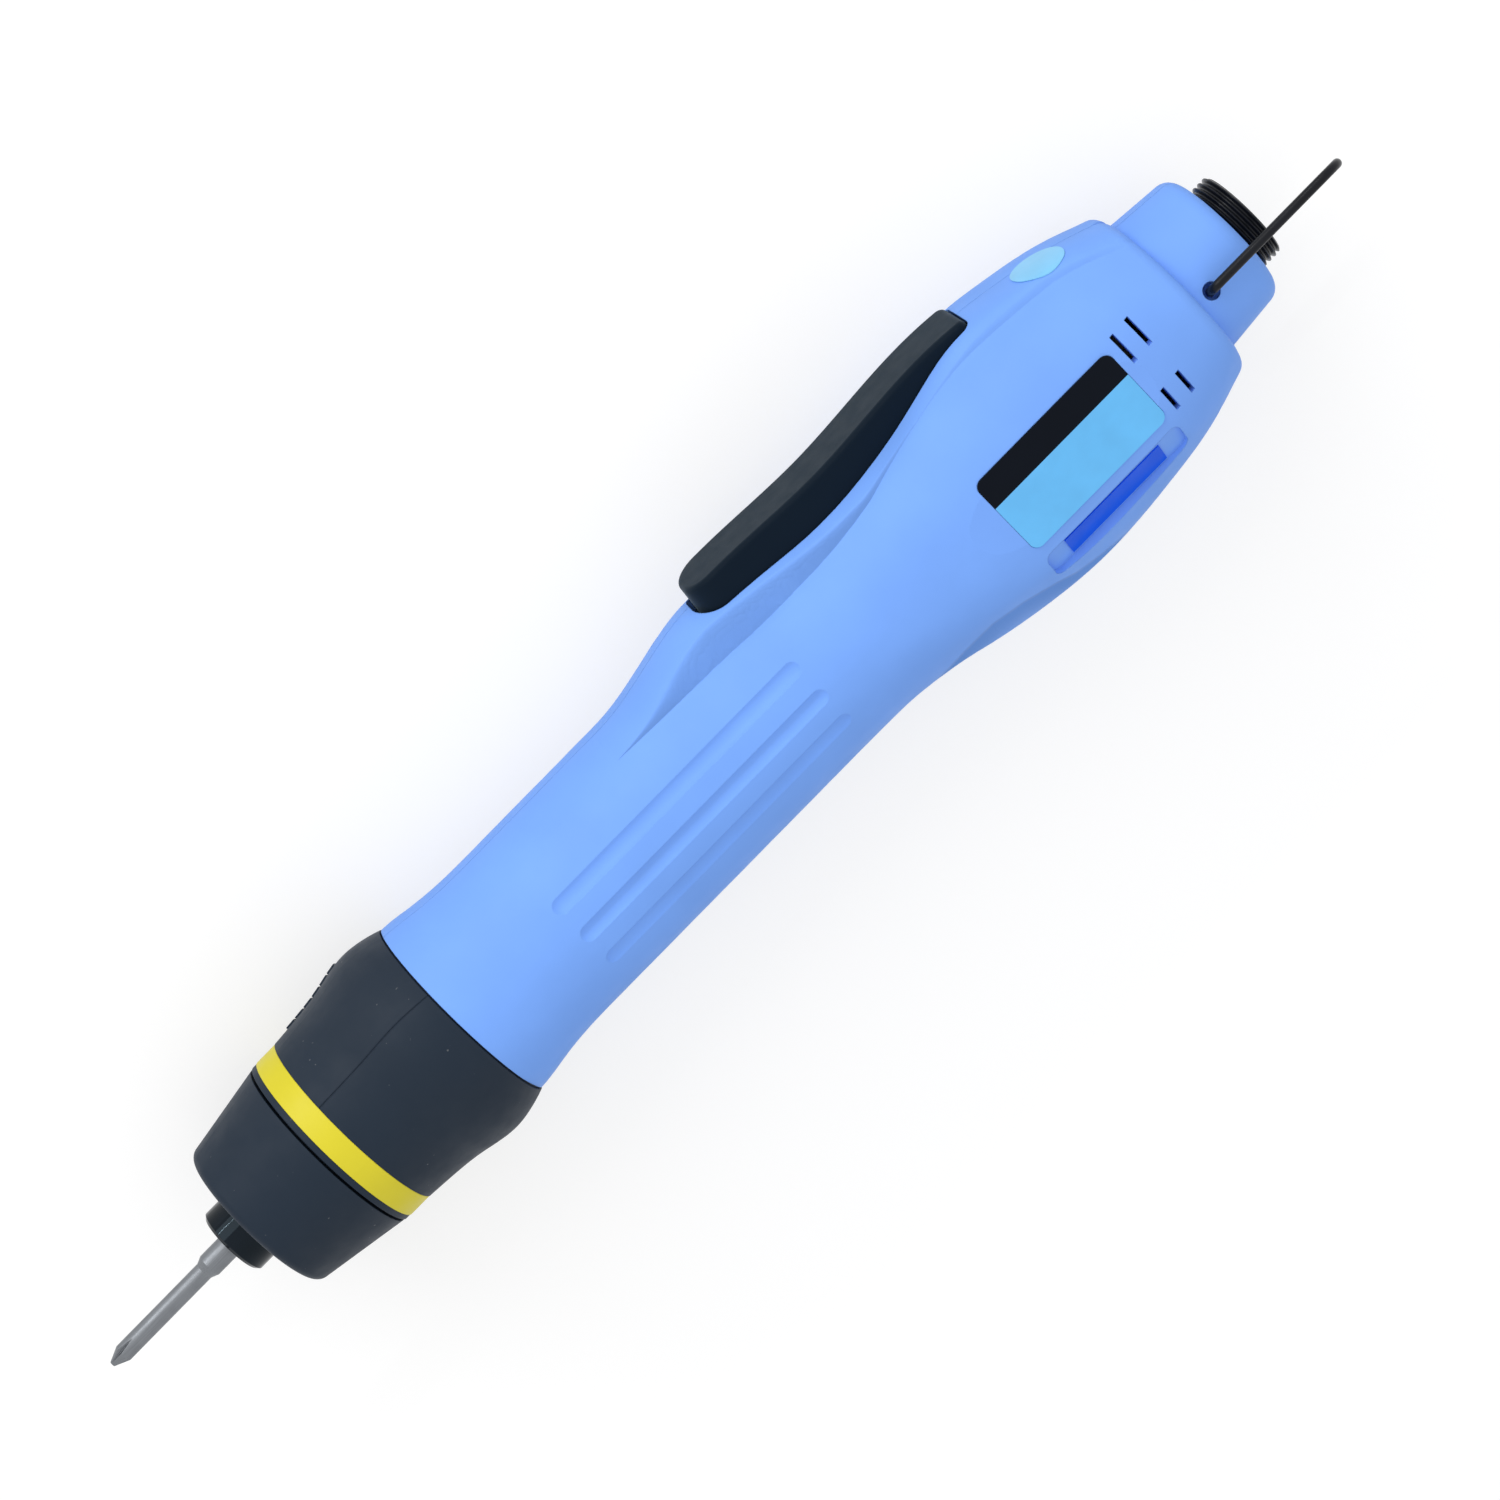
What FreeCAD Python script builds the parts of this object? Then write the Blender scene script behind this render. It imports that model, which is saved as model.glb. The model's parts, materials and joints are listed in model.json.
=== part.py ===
import FreeCAD, Part
import math
import os

# Electric screwdriver for assembly lines, laid on its left side.
# While it is modelled, X runs along the tool axis from the bit to the power socket, with 0 at the
# front face of the housing, +Y points to the start lever and +Z to the rating plate.
# Lengths are in millimetres and angles in degrees.

Vector = FreeCAD.Vector
X_AXIS = Vector(1, 0, 0)
Y_AXIS = Vector(0, 1, 0)
Z_AXIS = Vector(0, 0, 1)
ORIGIN = Vector(0, 0, 0)

# Gaps between pieces
RUN_GAP = 0.05          # running fit, on the radius
FIT_GAP = 0.03          # pieces pushed together
MOVE_GAP = 0.4          # moving pieces that pass each other
CUT_OVER = 1.0          # how far cutters stand past the material

# Housing: two halves that meet near the plane z = 0
FRONT_R = 17.1          # at the clutch cover
WAIST_R = 15.75         # grip
WAIST_FRONT_X = 14.0
WAIST_REAR_X = 45.0
BODY_LEN = 153.0        # front face to rear shoulder
FLAT_HALF = 18.6        # flat sides, from the parting plane
FLAT_SHAVE = 0.25       # what the flats take off the round sides
SIDE_START_X = 72.0
FLAT_FRONT_X = 112.0
FLAT_REAR_X = 136.0
REAR_SIDE = 15.6
BULGE_X = 120.0
BULGE_START_X = 84.0    # of the upper flanks
BELLY_START_X = 88.0    # of the lower flanks
BULGE_TOP = 20.6
BULGE_BOTTOM = 19.6
TURN_X = 140.0
TURN_TOP = 18.2
TURN_BOTTOM = 17.8
REAR_TOP = 14.7
REAR_BOTTOM = 15.0
SPINE_FRONT = 3.5       # spine height over the round body at the lever's front end
SADDLE_X = 108.0
SADDLE_DEPTH = 1.0
SPINE_REAR = 1.3
SPINE_END = 0.7
KEEL_START_X = 80.0
KEEL_X = 101.0
KEEL_FRONT = 2.0
KEEL_REAR = 1.4
KEEL_END = 0.9
FOOT_FRONT = 8.6        # half-width of the spine at its foot
FOOT_LEVER = 9.8
FOOT_X = 98.0
FOOT_WIDE = 11.4
FOOT_REAR = 8.8
FOOT_END = 9.0
RIDGE_LEAN = 0.75       # width of the spine's wall for each millimetre of its height
RIDGE_LEAST = 2.4
RIDGE_CREASE = 0.7      # width of the crease along the foot
FACET_ANGLE = 138.0     # of the flat beside the keel, counted from the spine
FACET_START_X = 86.0
FACET_FRONT = 17.0      # distance of the flat from the axis
FACET_MID = 18.9
FACET_BULGE = 21.1
FACET_TURN = 19.9
FACET_END = 16.6
FACET_SOFT = 0.5        # softness of the flat's edges
BULGE_POWER = 2.5       # squareness of the bulge; 2 is an ellipse
REAR_POWER = 2.2
WALL = 2.0
PART_GAP = 0.06         # half of the seam between the halves
SHOULDER_ROUND = 2.3
SECTIONS = 30
SECTION_STEPS = 56

# Neck with the power socket
NECK_FRONT_R = 13.6
NECK_REAR_R = 12.0
NECK_LEN = 11.9
NECK_ROUND = 2.3
NECK_ROOT = 6.0         # how far the neck reaches into the body

# Grip grooves
GROOVE_FRONT_X = 21.7
GROOVE_LEN = 51.5
GROOVE_WIDTH = 2.8
GROOVE_DEPTH = 0.5
GROOVE_ANGLES = (-21.5, 0.0, 21.5)

# Clutch cover with its marker ring
COVER_LEN = 28.8
COVER_LIP = 1.0
COVER_FRONT_R = 16.4
COVER_MID_R = 16.8
COVER_SWELL_R = 17.5
COVER_REAR_R = 17.25
COVER_BACK_R = 18.1
COVER_BORE_R = 14.75
COVER_LAND_LEN = 4.5
COVER_SEAM = 0.3        # groove in front of the housing
COVER_SEAM_DEPTH = 0.7
COVER_SHARES = (0.30, 0.52, 0.755, 0.89)
MARKER_LEN = 4.0
MARKER_R = 16.5
MARKER_DEPTH = 1.2
SPIGOT_LEN = 4.0        # of the housing, inside the cover
SPIGOT_R = 15.5
MOULD_LINE_ANGLE = 37.5
MOULD_LINE_WIDTH = 0.25
MOULD_LINE_DEPTH = 0.12
RIB_COUNT = 6
RIB_PITCH = 2.06
RIB_LEN = 1.65
RIB_HEIGHT = 0.3
RIB_SPAN = 46.0
RIB_TURN = 42.0         # from the spine towards the left
RIB_FRONT_X = -20.9

# Torque ring
TORQUE_GAP = 0.5
TORQUE_LEN = 15.8
TORQUE_FRONT_R = 13.7
TORQUE_REAR_R = 16.25
TORQUE_ROUND = 1.3
TORQUE_WALL = 1.7
TORQUE_FACE = 2.0
TORQUE_TRAVEL = 3.0
TORQUE_PITCH = 1.0
HUB_WALL = 1.4
HUB_LEN = 10.0
SKIRT_LEN = 5.0
SKIRT_WALL = 0.9

# Gear train: sun, three planets and a ring that the clutch holds
GEAR_MODULE = 0.5
SUN_TEETH = 12
PLANET_TEETH = 15
RING_TEETH = 42
PLANETS = 3
GEAR_FACE = 6.0
PRESSURE_ANGLE = 25.0
ADDENDUM_SHARE = 0.8
DEDENDUM_SHARE = 1.05
BACKLASH = 0.07
FLANK_STEPS = 5
RING_R = 12.5
PIN_R = 1.0
CARRIER_LEN = 2.5
CARRIER_R = 8.9
GEAR_SPACE = 0.4        # along the axis between gear pieces

# Gear case
CASE_R = 13.9
CASE_FLANGE_R = 14.4
CASE_FLANGE_FRONT = 1.5
CASE_WALL = 3.0
NOSE_R = 9.5
NOSE_SETBACK = 4.9      # behind the torque ring's front face
KEY_WIDTH = 2.0
KEY_DEPTH = 0.8
CLUTCH_PINS = 6
CLUTCH_PIN_R = 0.7
CLUTCH_PIN_PROUD = 0.3
CLUTCH_DIMPLE = 0.4
WASHER_LEN = 1.2
WASHER_R = 13.3
SEAT_LEN = 1.5
SEAT_R = 12.9
CLUTCH_WIRE = 1.6
CLUTCH_COIL_R = 11.3
CLUTCH_TURNS = 7
WIRE_SIDES = 8          # spring wire drawn with flats

# Output spindle, bit and bit sleeve
SPINDLE_R = 4.0
SPINDLE_SETBACK = 0.5
BIT_R = 2.0
BIT_SHANK_R = 1.5
BIT_REACH = 26.1        # out of the sleeve
BIT_LEN = 40.0
BIT_THIN_LEN = 20.1
BIT_STEP = 1.2
BIT_CONE_LEN = 2.4
BIT_POINT_R = 0.45
BIT_FLUTE_LEN = 5.3
BIT_FLAT = 1.3          # drive flat, from the axis
BIT_FLAT_LEN = 10.0
BIT_NECK_LEN = 2.2
BIT_NECK_R = 1.55
SLEEVE_R = 5.95
SLEEVE_REACH = 5.2      # out of the torque ring
SLEEVE_LEN = 7.9
SLEEVE_CHAMFER = 0.5
SLEEVE_TRAVEL = 2.0
SLEEVE_HOLE_GAP = 0.3
LOCK_BALL_R = 1.0
LOCK_X = 3.6            # behind the sleeve's front
SLEEVE_RELIEF_R = 5.2
SLEEVE_WIRE = 0.5
SLEEVE_TURNS = 3.5
CLIP_LEN = 0.5
CLIP_R = 5.0
BEARING_LEN = 5.0
BEARING_R = 7.5
BEARING_SETBACK = 1.0
BEARING_BALLS = 9
BEARING_RACE_SHARE = 0.28
BUSH_LEN = 5.0
BUSH_R = 6.5

# Motor
MOTOR_X = 3.0
MOTOR_R = 13.2
MOTOR_WALL = 0.9
PLATE_LEN = 5.0
PLATE_SPIGOT = 1.0
CAN_LEN = 35.0
SHAFT_R = 1.5
MOTOR_BEARING_R = 4.0
MOTOR_BEARING_LEN = 4.0
MOTOR_BALLS = 7
STATOR_LEN = 24.0
STATOR_BORE_R = 7.2
STATOR_YOKE = 1.7
STATOR_TEETH = 6
STATOR_TOOTH = 3.2
STATOR_SHOE = 1.0
STATOR_SLOT = 1.8
COIL_OVER = 1.6
COIL_SIDE = 1.5
ROTOR_R = 6.8
ROTOR_CORE_R = 4.6
ROTOR_POLES = 4
POLE_SLOT = 0.8
SHAFT_TAIL = 1.0
HALL_LEN = 1.2
HALL_R = 12.0
HALL_BORE_R = 3.0
HALL_SPACE = 0.05

# Control board and what it carries
BOARD_X = 58.0
BOARD_LEN = 80.0
BOARD_HALF = 11.0
BOARD_T = 1.6
BOARD_Y = -2.2          # top face
BOARD_RAIL = 1.6
BOARD_GRIP = 1.2
CHIP_LEN = 6.0
CHIP_WIDTH = 5.0
CHIP_T = 1.6
CHIP_PITCH = 8.0
CHIP_X = 62.0
CHIP_Z = 4.5
CAP_R = 4.6
CAP_LEN = 18.0
CAP_X = 92.0
SENSOR_X = 100.0
SENSOR_T = 1.2
SENSOR_HALF = 4.0
SENSOR_TOP = 10.5

# Start lever
LEVER_X = 67.9
LEVER_LEN = 59.6
LEVER_FOOT_HALF = 6.8
LEVER_HEAD_HALF = 5.9
LEVER_BOTTOM = 13.0
LEVER_FRONT_TOP = 22.4
LEVER_MID_TOP = 21.6
LEVER_REAR_TOP = 22.7
LEVER_END_TOP = 22.0
LEVER_TOP_SHARES = (0.16, 0.45, 0.84)
LEVER_HEAD = 24.0       # height where the draft of the sides is measured
LEVER_FRONT_ROUND = 4.6
LEVER_REAR_ROUND = 1.5
LEVER_EDGE_ROUND = 1.0
LEVER_FRONT_RAKE = 1.3
LEVER_REAR_RAKE = 0.9
LEVER_WALL = 1.8
LEVER_SLOT_GAP = 0.35
LEVER_FRONT_GAP = 0.75
LEVER_PIVOT_BACK = 5.6  # pivot in front of the lever's rear end
LEVER_PIVOT_Y = 15.5
LEVER_PIN_R = 1.25
LEVER_PIN_HALF = 9.6
LEVER_HUB_R = 2.9
LEVER_PRESS = 3.0       # angle of travel
LEVER_LIP = 2.2
LEVER_LIP_T = 2.0
LEVER_LIP_HALF = 4.0
LEVER_LIP_DROP = 0.8
PIN_BOSS_R = 3.2
PIN_BOSS_GAP = 0.5
LEVER_MAGNET_R = 2.0
LEVER_MAGNET_LEN = 2.0
LEVER_POST_R = 3.0
SPRING_X = 80.0
SHELF_Y = 6.0
SHELF_T = 2.0
SHELF_HALF = 4.0
PEG_R = 1.4
PEG_LEN = 2.0
LEVER_WIRE = 0.5
LEVER_COIL_R = 2.2
LEVER_TURNS = 7

# Housing screws
SCREW_PLACES = ((85.0, -10.9), (123.0, -16.0), (146.7, 10.5), (146.7, -10.5))
SCREW_BOSS_R = 2.7
SCREW_R = 1.1
SCREW_HEAD_R = 2.0
SCREW_HEAD_LEN = 1.6
SCREW_WELL_R = 2.2
SCREW_WELL_Z = 7.5
SCREW_REACH = 5.5
SCREW_SLOT = 1.0
SCREW_SLOT_SHARE = 0.62

# Power socket
SOCKET_OUT = 4.0        # shell out of the neck
SOCKET_LEN = 17.5
SOCKET_R = 8.0          # over the thread
SOCKET_BODY_R = 7.7
SOCKET_CORE_R = 7.45
SOCKET_PITCH = 1.0
SOCKET_THREADS = 3
SOCKET_BORE_R = 6.9
SOCKET_DEPTH = 6.0
SOCKET_SEAT_R = 6.4
SOCKET_FLANGE_R = 9.6
SOCKET_FLANGE_LEN = 2.5
SOCKET_FLANGE_BACK = 4.2
CONTACTS = 5
CONTACT_CIRCLE_R = 3.9
CONTACT_R = 0.95
CONTACT_BORE_R = 0.6
CONTACT_TAIL = 3.0
INSERT_LEN = 10.0

# Hanging bail: its hinge line is a chord of the neck, turned from the parting plane's normal
BAIL_X = 155.8
BAIL_TILT = 21.3
BAIL_OFFSET = 4.8
BAIL_WIRE_R = 0.75
BAIL_HOLE_R = 1.4
BAIL_HOLE_END = 9.0
BAIL_PEG_END = 9.6
BAIL_LEG = 14.2
BAIL_LEN = 27.4
BAIL_BEND = 1.7
BAIL_CROWN_BEND = 4.0

# Plates on the right side
LABEL_X = 109.9
LABEL_LEN = 27.8
LABEL_HALF = 7.15
LABEL_ROUND = 1.5
LABEL_T = 0.3
LABEL_SINK = 0.35
LABEL_BAND = 4.9
SERIAL_X = 110.0
SERIAL_LEN = 28.0
SERIAL_TILT = 40.0
SERIAL_Y = -11.3
SERIAL_HALF = 3.0
SERIAL_FLOOR = 19.25    # floor of the pocket, along its normal from the axis
SERIAL_PLATE_LEN = 19.8
SERIAL_PLATE_HALF = 2.3
SERIAL_T = 0.25
STICKER_X = 140.7
STICKER_Z = 3.2
STICKER_R = 4.4
STICKER_GLUE = 0.08     # under the disc
STICKER_T = 0.2         # with the glue

# Vents in the sides
VENT_X = (139.85, 143.25)
VENT_WIDTH = 0.8
VENT_LENS = (4.4, 5.3)    # of the lower and upper row
VENT_MID = 5.4
VENT_Z = 10.0

# Stations along the axis that follow from the sizes above
COVER_X = -COVER_LEN
TORQUE_REAR_X = COVER_X - TORQUE_GAP
TORQUE_X = TORQUE_REAR_X - TORQUE_LEN
SLEEVE_X = TORQUE_X - SLEEVE_REACH
BIT_X = SLEEVE_X - BIT_REACH
NOSE_X = TORQUE_X + NOSE_SETBACK
PLANET_REAR_X = MOTOR_X - 2 * GEAR_SPACE
PLANET_X = PLANET_REAR_X - GEAR_FACE
CARRIER_X = PLANET_X - GEAR_SPACE - CARRIER_LEN
RING_X = CARRIER_X - GEAR_SPACE
RING_REAR_X = PLANET_REAR_X + GEAR_SPACE
CASE_WALL_X = RING_X - GEAR_SPACE / 2 - CASE_WALL
WASHER_REAR_X = CASE_WALL_X - CLUTCH_PIN_PROUD - FIT_GAP
WASHER_X = WASHER_REAR_X - WASHER_LEN
SEAT_X = TORQUE_X + TORQUE_FACE + HUB_LEN + FIT_GAP
CAN_X = MOTOR_X + PLATE_LEN
BELL_X = CAN_X + CAN_LEN
MOTOR_REAR_X = BELL_X + PLATE_LEN
STATOR_X = CAN_X + (CAN_LEN - STATOR_LEN) / 2
HALL_X = MOTOR_REAR_X + HALL_SPACE
SHAFT_REAR_X = MOTOR_REAR_X + SHAFT_TAIL
LEVER_REAR_X = LEVER_X + LEVER_LEN
PIVOT_X = LEVER_REAR_X - LEVER_PIVOT_BACK
NECK_X = BODY_LEN + NECK_LEN
SOCKET_REAR_X = NECK_X + SOCKET_OUT
SOCKET_X = SOCKET_REAR_X - SOCKET_LEN
INSERT_REAR_X = SOCKET_REAR_X - SOCKET_DEPTH
INSERT_X = INSERT_REAR_X - INSERT_LEN
FLANGE_X = NECK_X - SOCKET_FLANGE_BACK
THREAD_X = SOCKET_REAR_X - SOCKET_PITCH / 4 - SOCKET_THREADS * SOCKET_PITCH
PLANET_CIRCLE_R = GEAR_MODULE * (SUN_TEETH + PLANET_TEETH) / 2
BAIL_DIR = Vector(0, math.sin(math.radians(BAIL_TILT)), math.cos(math.radians(BAIL_TILT)))
BAIL_SIDE = Vector(0, math.cos(math.radians(BAIL_TILT)), -math.sin(math.radians(BAIL_TILT)))
BAIL_MID = Vector(BAIL_X, 0, 0) - BAIL_SIDE * BAIL_OFFSET

# Lines of the housing as stations along X: height of the round body above and below the axis,
# half-width, height of the spine and keel over the body, and squareness
TOP_LINE = ((0, FRONT_R), (WAIST_FRONT_X, WAIST_R), (BULGE_START_X, WAIST_R), (BULGE_X, BULGE_TOP),
            (TURN_X, TURN_TOP), (BODY_LEN, REAR_TOP))
BOTTOM_LINE = ((0, FRONT_R), (WAIST_FRONT_X, WAIST_R), (BELLY_START_X, WAIST_R),
               (BULGE_X, BULGE_BOTTOM), (TURN_X, TURN_BOTTOM), (BODY_LEN, REAR_BOTTOM))
SIDE_LINE = ((0, FRONT_R), (WAIST_FRONT_X, WAIST_R), (SIDE_START_X, WAIST_R),
             (FLAT_FRONT_X, FLAT_HALF + FLAT_SHAVE), (FLAT_REAR_X, FLAT_HALF + FLAT_SHAVE),
             (BODY_LEN, REAR_SIDE))
SPINE_LINE = ((0, 0), (WAIST_REAR_X, 0), (LEVER_X, SPINE_FRONT), (SADDLE_X, -SADDLE_DEPTH),
              (LEVER_REAR_X, SPINE_REAR), (BODY_LEN, SPINE_END))
FOOT_LINE = ((0, FOOT_FRONT), (WAIST_REAR_X, FOOT_FRONT), (LEVER_X, FOOT_LEVER), (FOOT_X, FOOT_WIDE),
             (TURN_X, FOOT_REAR), (BODY_LEN, FOOT_END))
FACET_LINE = ((0, FACET_FRONT), (FACET_START_X, FACET_FRONT), (KEEL_X, FACET_MID), (BULGE_X, FACET_BULGE),
              (TURN_X, FACET_TURN), (BODY_LEN, FACET_END))
KEEL_LINE = ((0, 0), (KEEL_START_X, 0), (KEEL_X, KEEL_FRONT), (BULGE_X, KEEL_REAR), (BODY_LEN, KEEL_END))
POWER_LINE = ((0, 2), (SIDE_START_X, 2), (FLAT_FRONT_X, BULGE_POWER), (FLAT_REAR_X, BULGE_POWER),
              (BODY_LEN, REAR_POWER))


def smooth(line, x):
    """Value at x of a smooth curve through the stations that never swings past them."""
    steps = [(b[0] - a[0], (b[1] - a[1]) / (b[0] - a[0])) for a, b in zip(line, line[1:])]
    slopes = [steps[0][1]]
    for (w0, s0), (w1, s1) in zip(steps, steps[1:]):
        slopes.append(0.0 if s0 * s1 <= 0 else 2 * s0 * s1 / (s0 + s1))
    slopes.append(steps[-1][1])
    if x <= line[0][0]:
        return line[0][1]
    for i, (width, slope) in enumerate(steps):
        if x <= line[i + 1][0]:
            t = (x - line[i][0]) / width
            rise = t * t * (3 - 2 * t)
            return (line[i][1] * (1 - rise) + line[i + 1][1] * rise
                    + width * (slopes[i] * t * (1 - t) ** 2 - slopes[i + 1] * t * t * (1 - t)))
    return line[-1][1]


def spine_share(z, rise, foot):
    """Share of the spine's height at a distance from the seam, with a crease at the spine's foot."""
    width = max(rise * RIDGE_LEAN, RIDGE_LEAST) if rise > 0 else foot / 2
    crease = RIDGE_CREASE / width
    t = 1 + (z - foot) / width
    if t <= 0:
        return 1.0
    if t >= 1 + crease:
        return 0.0
    if t > 1 - crease:
        return (1 + crease - t) ** 2 / (2 * crease * (1 + crease))
    return 1 - t * t / (1 - crease * crease)


def polar(x, radius, angle):
    """Point at the angle around X, counted from +Y towards +Z."""
    return Vector(x, radius * math.cos(math.radians(angle)), radius * math.sin(math.radians(angle)))


def tube(x0, x1, outer, inner=0):
    """Tube or rod along X."""
    solid = Part.makeCylinder(outer, x1 - x0, Vector(x0, 0, 0), X_AXIS)
    if inner:
        over = Vector(x0 - CUT_OVER, 0, 0)
        solid = solid.cut(Part.makeCylinder(inner, x1 - x0 + 2 * CUT_OVER, over, X_AXIS))
    return solid


def block(x0, x1, y0, y1, z0, z1):
    return Part.makeBox(x1 - x0, y1 - y0, z1 - z0, Vector(x0, y0, z0))


def turned(points):
    """Solid of revolution about X from (x, radius) corners."""
    corners = [Vector(x, r, 0) for x, r in points]
    return Part.Face(Part.makePolygon(corners + corners[:1])).revolve(ORIGIN, X_AXIS, 360)


def turned_edges(edges):
    return Part.Face(Part.Wire(edges)).revolve(ORIGIN, X_AXIS, 360)


def line(p, q):
    return Part.LineSegment(p, q).toShape()


def around(shape, angle):
    """Copy turned about the tool axis."""
    copy = shape.copy()
    copy.rotate(ORIGIN, X_AXIS, angle)
    return copy


def moved(shape, offset):
    copy = shape.copy()
    copy.translate(offset)
    return copy


def fused(shapes):
    return shapes[0].fuse(list(shapes[1:])).removeSplitter()


def coil(start, end, radius, wire, turns):
    """Compression spring between two points, with its wire ends inside the ends."""
    axis = end - start
    rise = axis.Length - wire
    helix = Part.makeHelix(rise / turns, rise, radius)
    corners = []
    for k in range(WIRE_SIDES):
        angle = math.pi * (2 * k + 1) / WIRE_SIDES
        corners.append(Vector(radius + wire / 2 * math.cos(angle), 0, wire / 2 * math.sin(angle)))
    ring = Part.makePolygon(corners + corners[:1])
    spring = Part.Wire(helix.Edges).makePipeShell([ring], True, True)
    axis.normalize()
    spring.Placement = FreeCAD.Placement(start + axis * (wire / 2), FreeCAD.Rotation(Z_AXIS, axis))
    return spring


def ball_bearing(x0, length, bore, outer, balls):
    """Outer race with its balls, and inner race."""
    race = (outer - bore) * BEARING_RACE_SHARE
    track = (outer + bore) / 2
    ball = (outer - bore) / 2 - race - FIT_GAP
    outside = [tube(x0, x0 + length, outer, outer - race)]
    for k in range(balls):
        outside.append(Part.makeSphere(ball, polar(x0 + length / 2, track, k * 360 / balls)))
    return Part.makeCompound(outside), tube(x0, x0 + length, bore + race, bore)


def plan_wire(x0, x1, half, front_round, rear_round, y):
    """Outline in the plane at height y, round at both ends."""
    diagonal = math.sqrt(0.5)
    f, r = front_round, rear_round
    front, rear = x0 + f, x1 - r
    front_turn, rear_turn = front - f * diagonal, rear + r * diagonal
    front_out, rear_out = half - f + f * diagonal, half - r + r * diagonal
    places = [(front, half), (rear, half), (rear_turn, rear_out), (x1, half - r), (x1, r - half),
              (rear_turn, -rear_out), (rear, -half), (front, -half), (front_turn, -front_out),
              (x0, f - half), (x0, half - f), (front_turn, front_out)]
    points = [Vector(x, y, z) for x, z in places]
    edges = []
    for k in (0, 3, 6, 9):
        corner = points[k + 1:k + 4]
        edges.append(line(points[k], corner[0]))
        edges.append(Part.Arc(corner[0], corner[1], corner[2] if len(corner) > 2 else points[0]).toShape())
    return Part.Wire(edges)


# Housing

def section_wire(x, inset):
    """Half outline of the housing at x, closed along the seam."""
    power = smooth(POWER_LINE, x)
    side = smooth(SIDE_LINE, x) - inset
    top = smooth(TOP_LINE, x) - inset
    bottom = smooth(BOTTOM_LINE, x) + smooth(KEEL_LINE, x) - inset
    facet = smooth(FACET_LINE, x) - inset
    spine, foot = smooth(SPINE_LINE, x), smooth(FOOT_LINE, x)
    points = []
    for i in range(SECTION_STEPS + 1):
        angle = math.pi * i / SECTION_STEPS
        up = math.cos(angle)
        out = math.sin(angle) if i < SECTION_STEPS else 0
        radius = ((abs(up) / (top if up > 0 else bottom)) ** power + (out / side) ** power) ** (-1 / power)
        lean = math.cos(angle - math.radians(FACET_ANGLE))
        if up < 0 < lean:
            over = radius * lean - facet
            radius -= (over + math.hypot(over, FACET_SOFT)) / (2 * lean)
        y, z = radius * up, radius * out
        if up > 0:
            y += spine * spine_share(z + inset, spine, foot)
        points.append(Vector(x, y, z + PART_GAP))
    skin = Part.BSplineCurve()
    skin.interpolate(Points=points, Parameters=[i / SECTION_STEPS for i in range(SECTION_STEPS + 1)],
                     InitialTangent=Z_AXIS, FinalTangent=-Z_AXIS)
    return Part.Wire([skin.toShape(), line(points[-1], points[0])])


def half_body(inset, x0, x1):
    """Right half of the housing's outside, or of a body that lies inset from it."""
    wires = [section_wire(x0 + (x1 - x0) * i / SECTIONS, inset) for i in range(SECTIONS + 1)]
    body = Part.makeLoft(wires, True, False)
    top = FLAT_HALF - inset
    return body.cut(block(x0 - CUT_OVER, x1 + CUT_OVER, -2 * BULGE_TOP, 2 * BULGE_TOP, top, 2 * top))


def half_space():
    """Everything on the right of the seam."""
    return block(TORQUE_X, SOCKET_REAR_X, -2 * BULGE_TOP, 2 * BULGE_TOP, PART_GAP, 2 * FLAT_HALF)


def neck():
    """Tapered neck round the power socket."""
    corner = Vector(NECK_X, NECK_REAR_R, 0)
    root = Vector(BODY_LEN - NECK_ROOT, NECK_FRONT_R, 0)
    bore = SOCKET_BODY_R + RUN_GAP
    rim = Vector(NECK_X, NECK_REAR_R - NECK_ROUND, 0)
    flank = corner + (root - corner).normalize() * NECK_ROUND
    mid = (rim + flank) / 2
    bulge = mid + (corner - mid) * (math.sqrt(2) - 1)
    inner = [Vector(NECK_X, bore, 0), Vector(BODY_LEN - NECK_ROOT, bore, 0)]
    edges = [line(root, flank), Part.Arc(flank, bulge, rim).toShape(), line(rim, inner[0]),
             line(inner[0], inner[1]), line(inner[1], root)]
    groove = tube(FLANGE_X - FIT_GAP, FLANGE_X + SOCKET_FLANGE_LEN + FIT_GAP, SOCKET_FLANGE_R + RUN_GAP)
    return turned_edges(edges).cut(groove)


def motor_ribs():
    """Rings that hold the motor in the grip."""
    seat = MOTOR_R + RUN_GAP
    return [tube(x, x + WALL, FRONT_R, seat) for x in (MOTOR_X, CAN_X + WALL, BELL_X - WALL, BELL_X + WALL)]


def board_rails():
    """Rails above and below each edge of the control board."""
    inner = BOARD_HALF - BOARD_GRIP
    top = block(BOARD_X, BOARD_X + BOARD_LEN, BOARD_Y + FIT_GAP, BOARD_Y + BOARD_RAIL, inner, FLAT_HALF)
    low = BOARD_Y - BOARD_T
    bottom = block(BOARD_X, BOARD_X + BOARD_LEN, low - BOARD_RAIL, low - FIT_GAP, inner, FLAT_HALF)
    under, over = low - BOARD_RAIL, BOARD_Y + BOARD_RAIL
    stop = block(BOARD_X - BOARD_RAIL, BOARD_X - FIT_GAP, under, over, inner, FLAT_HALF)
    end = BOARD_X + BOARD_LEN
    back = block(end + FIT_GAP, end + BOARD_RAIL, under, over, inner, FLAT_HALF)
    return [top, bottom, stop, back]


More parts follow.
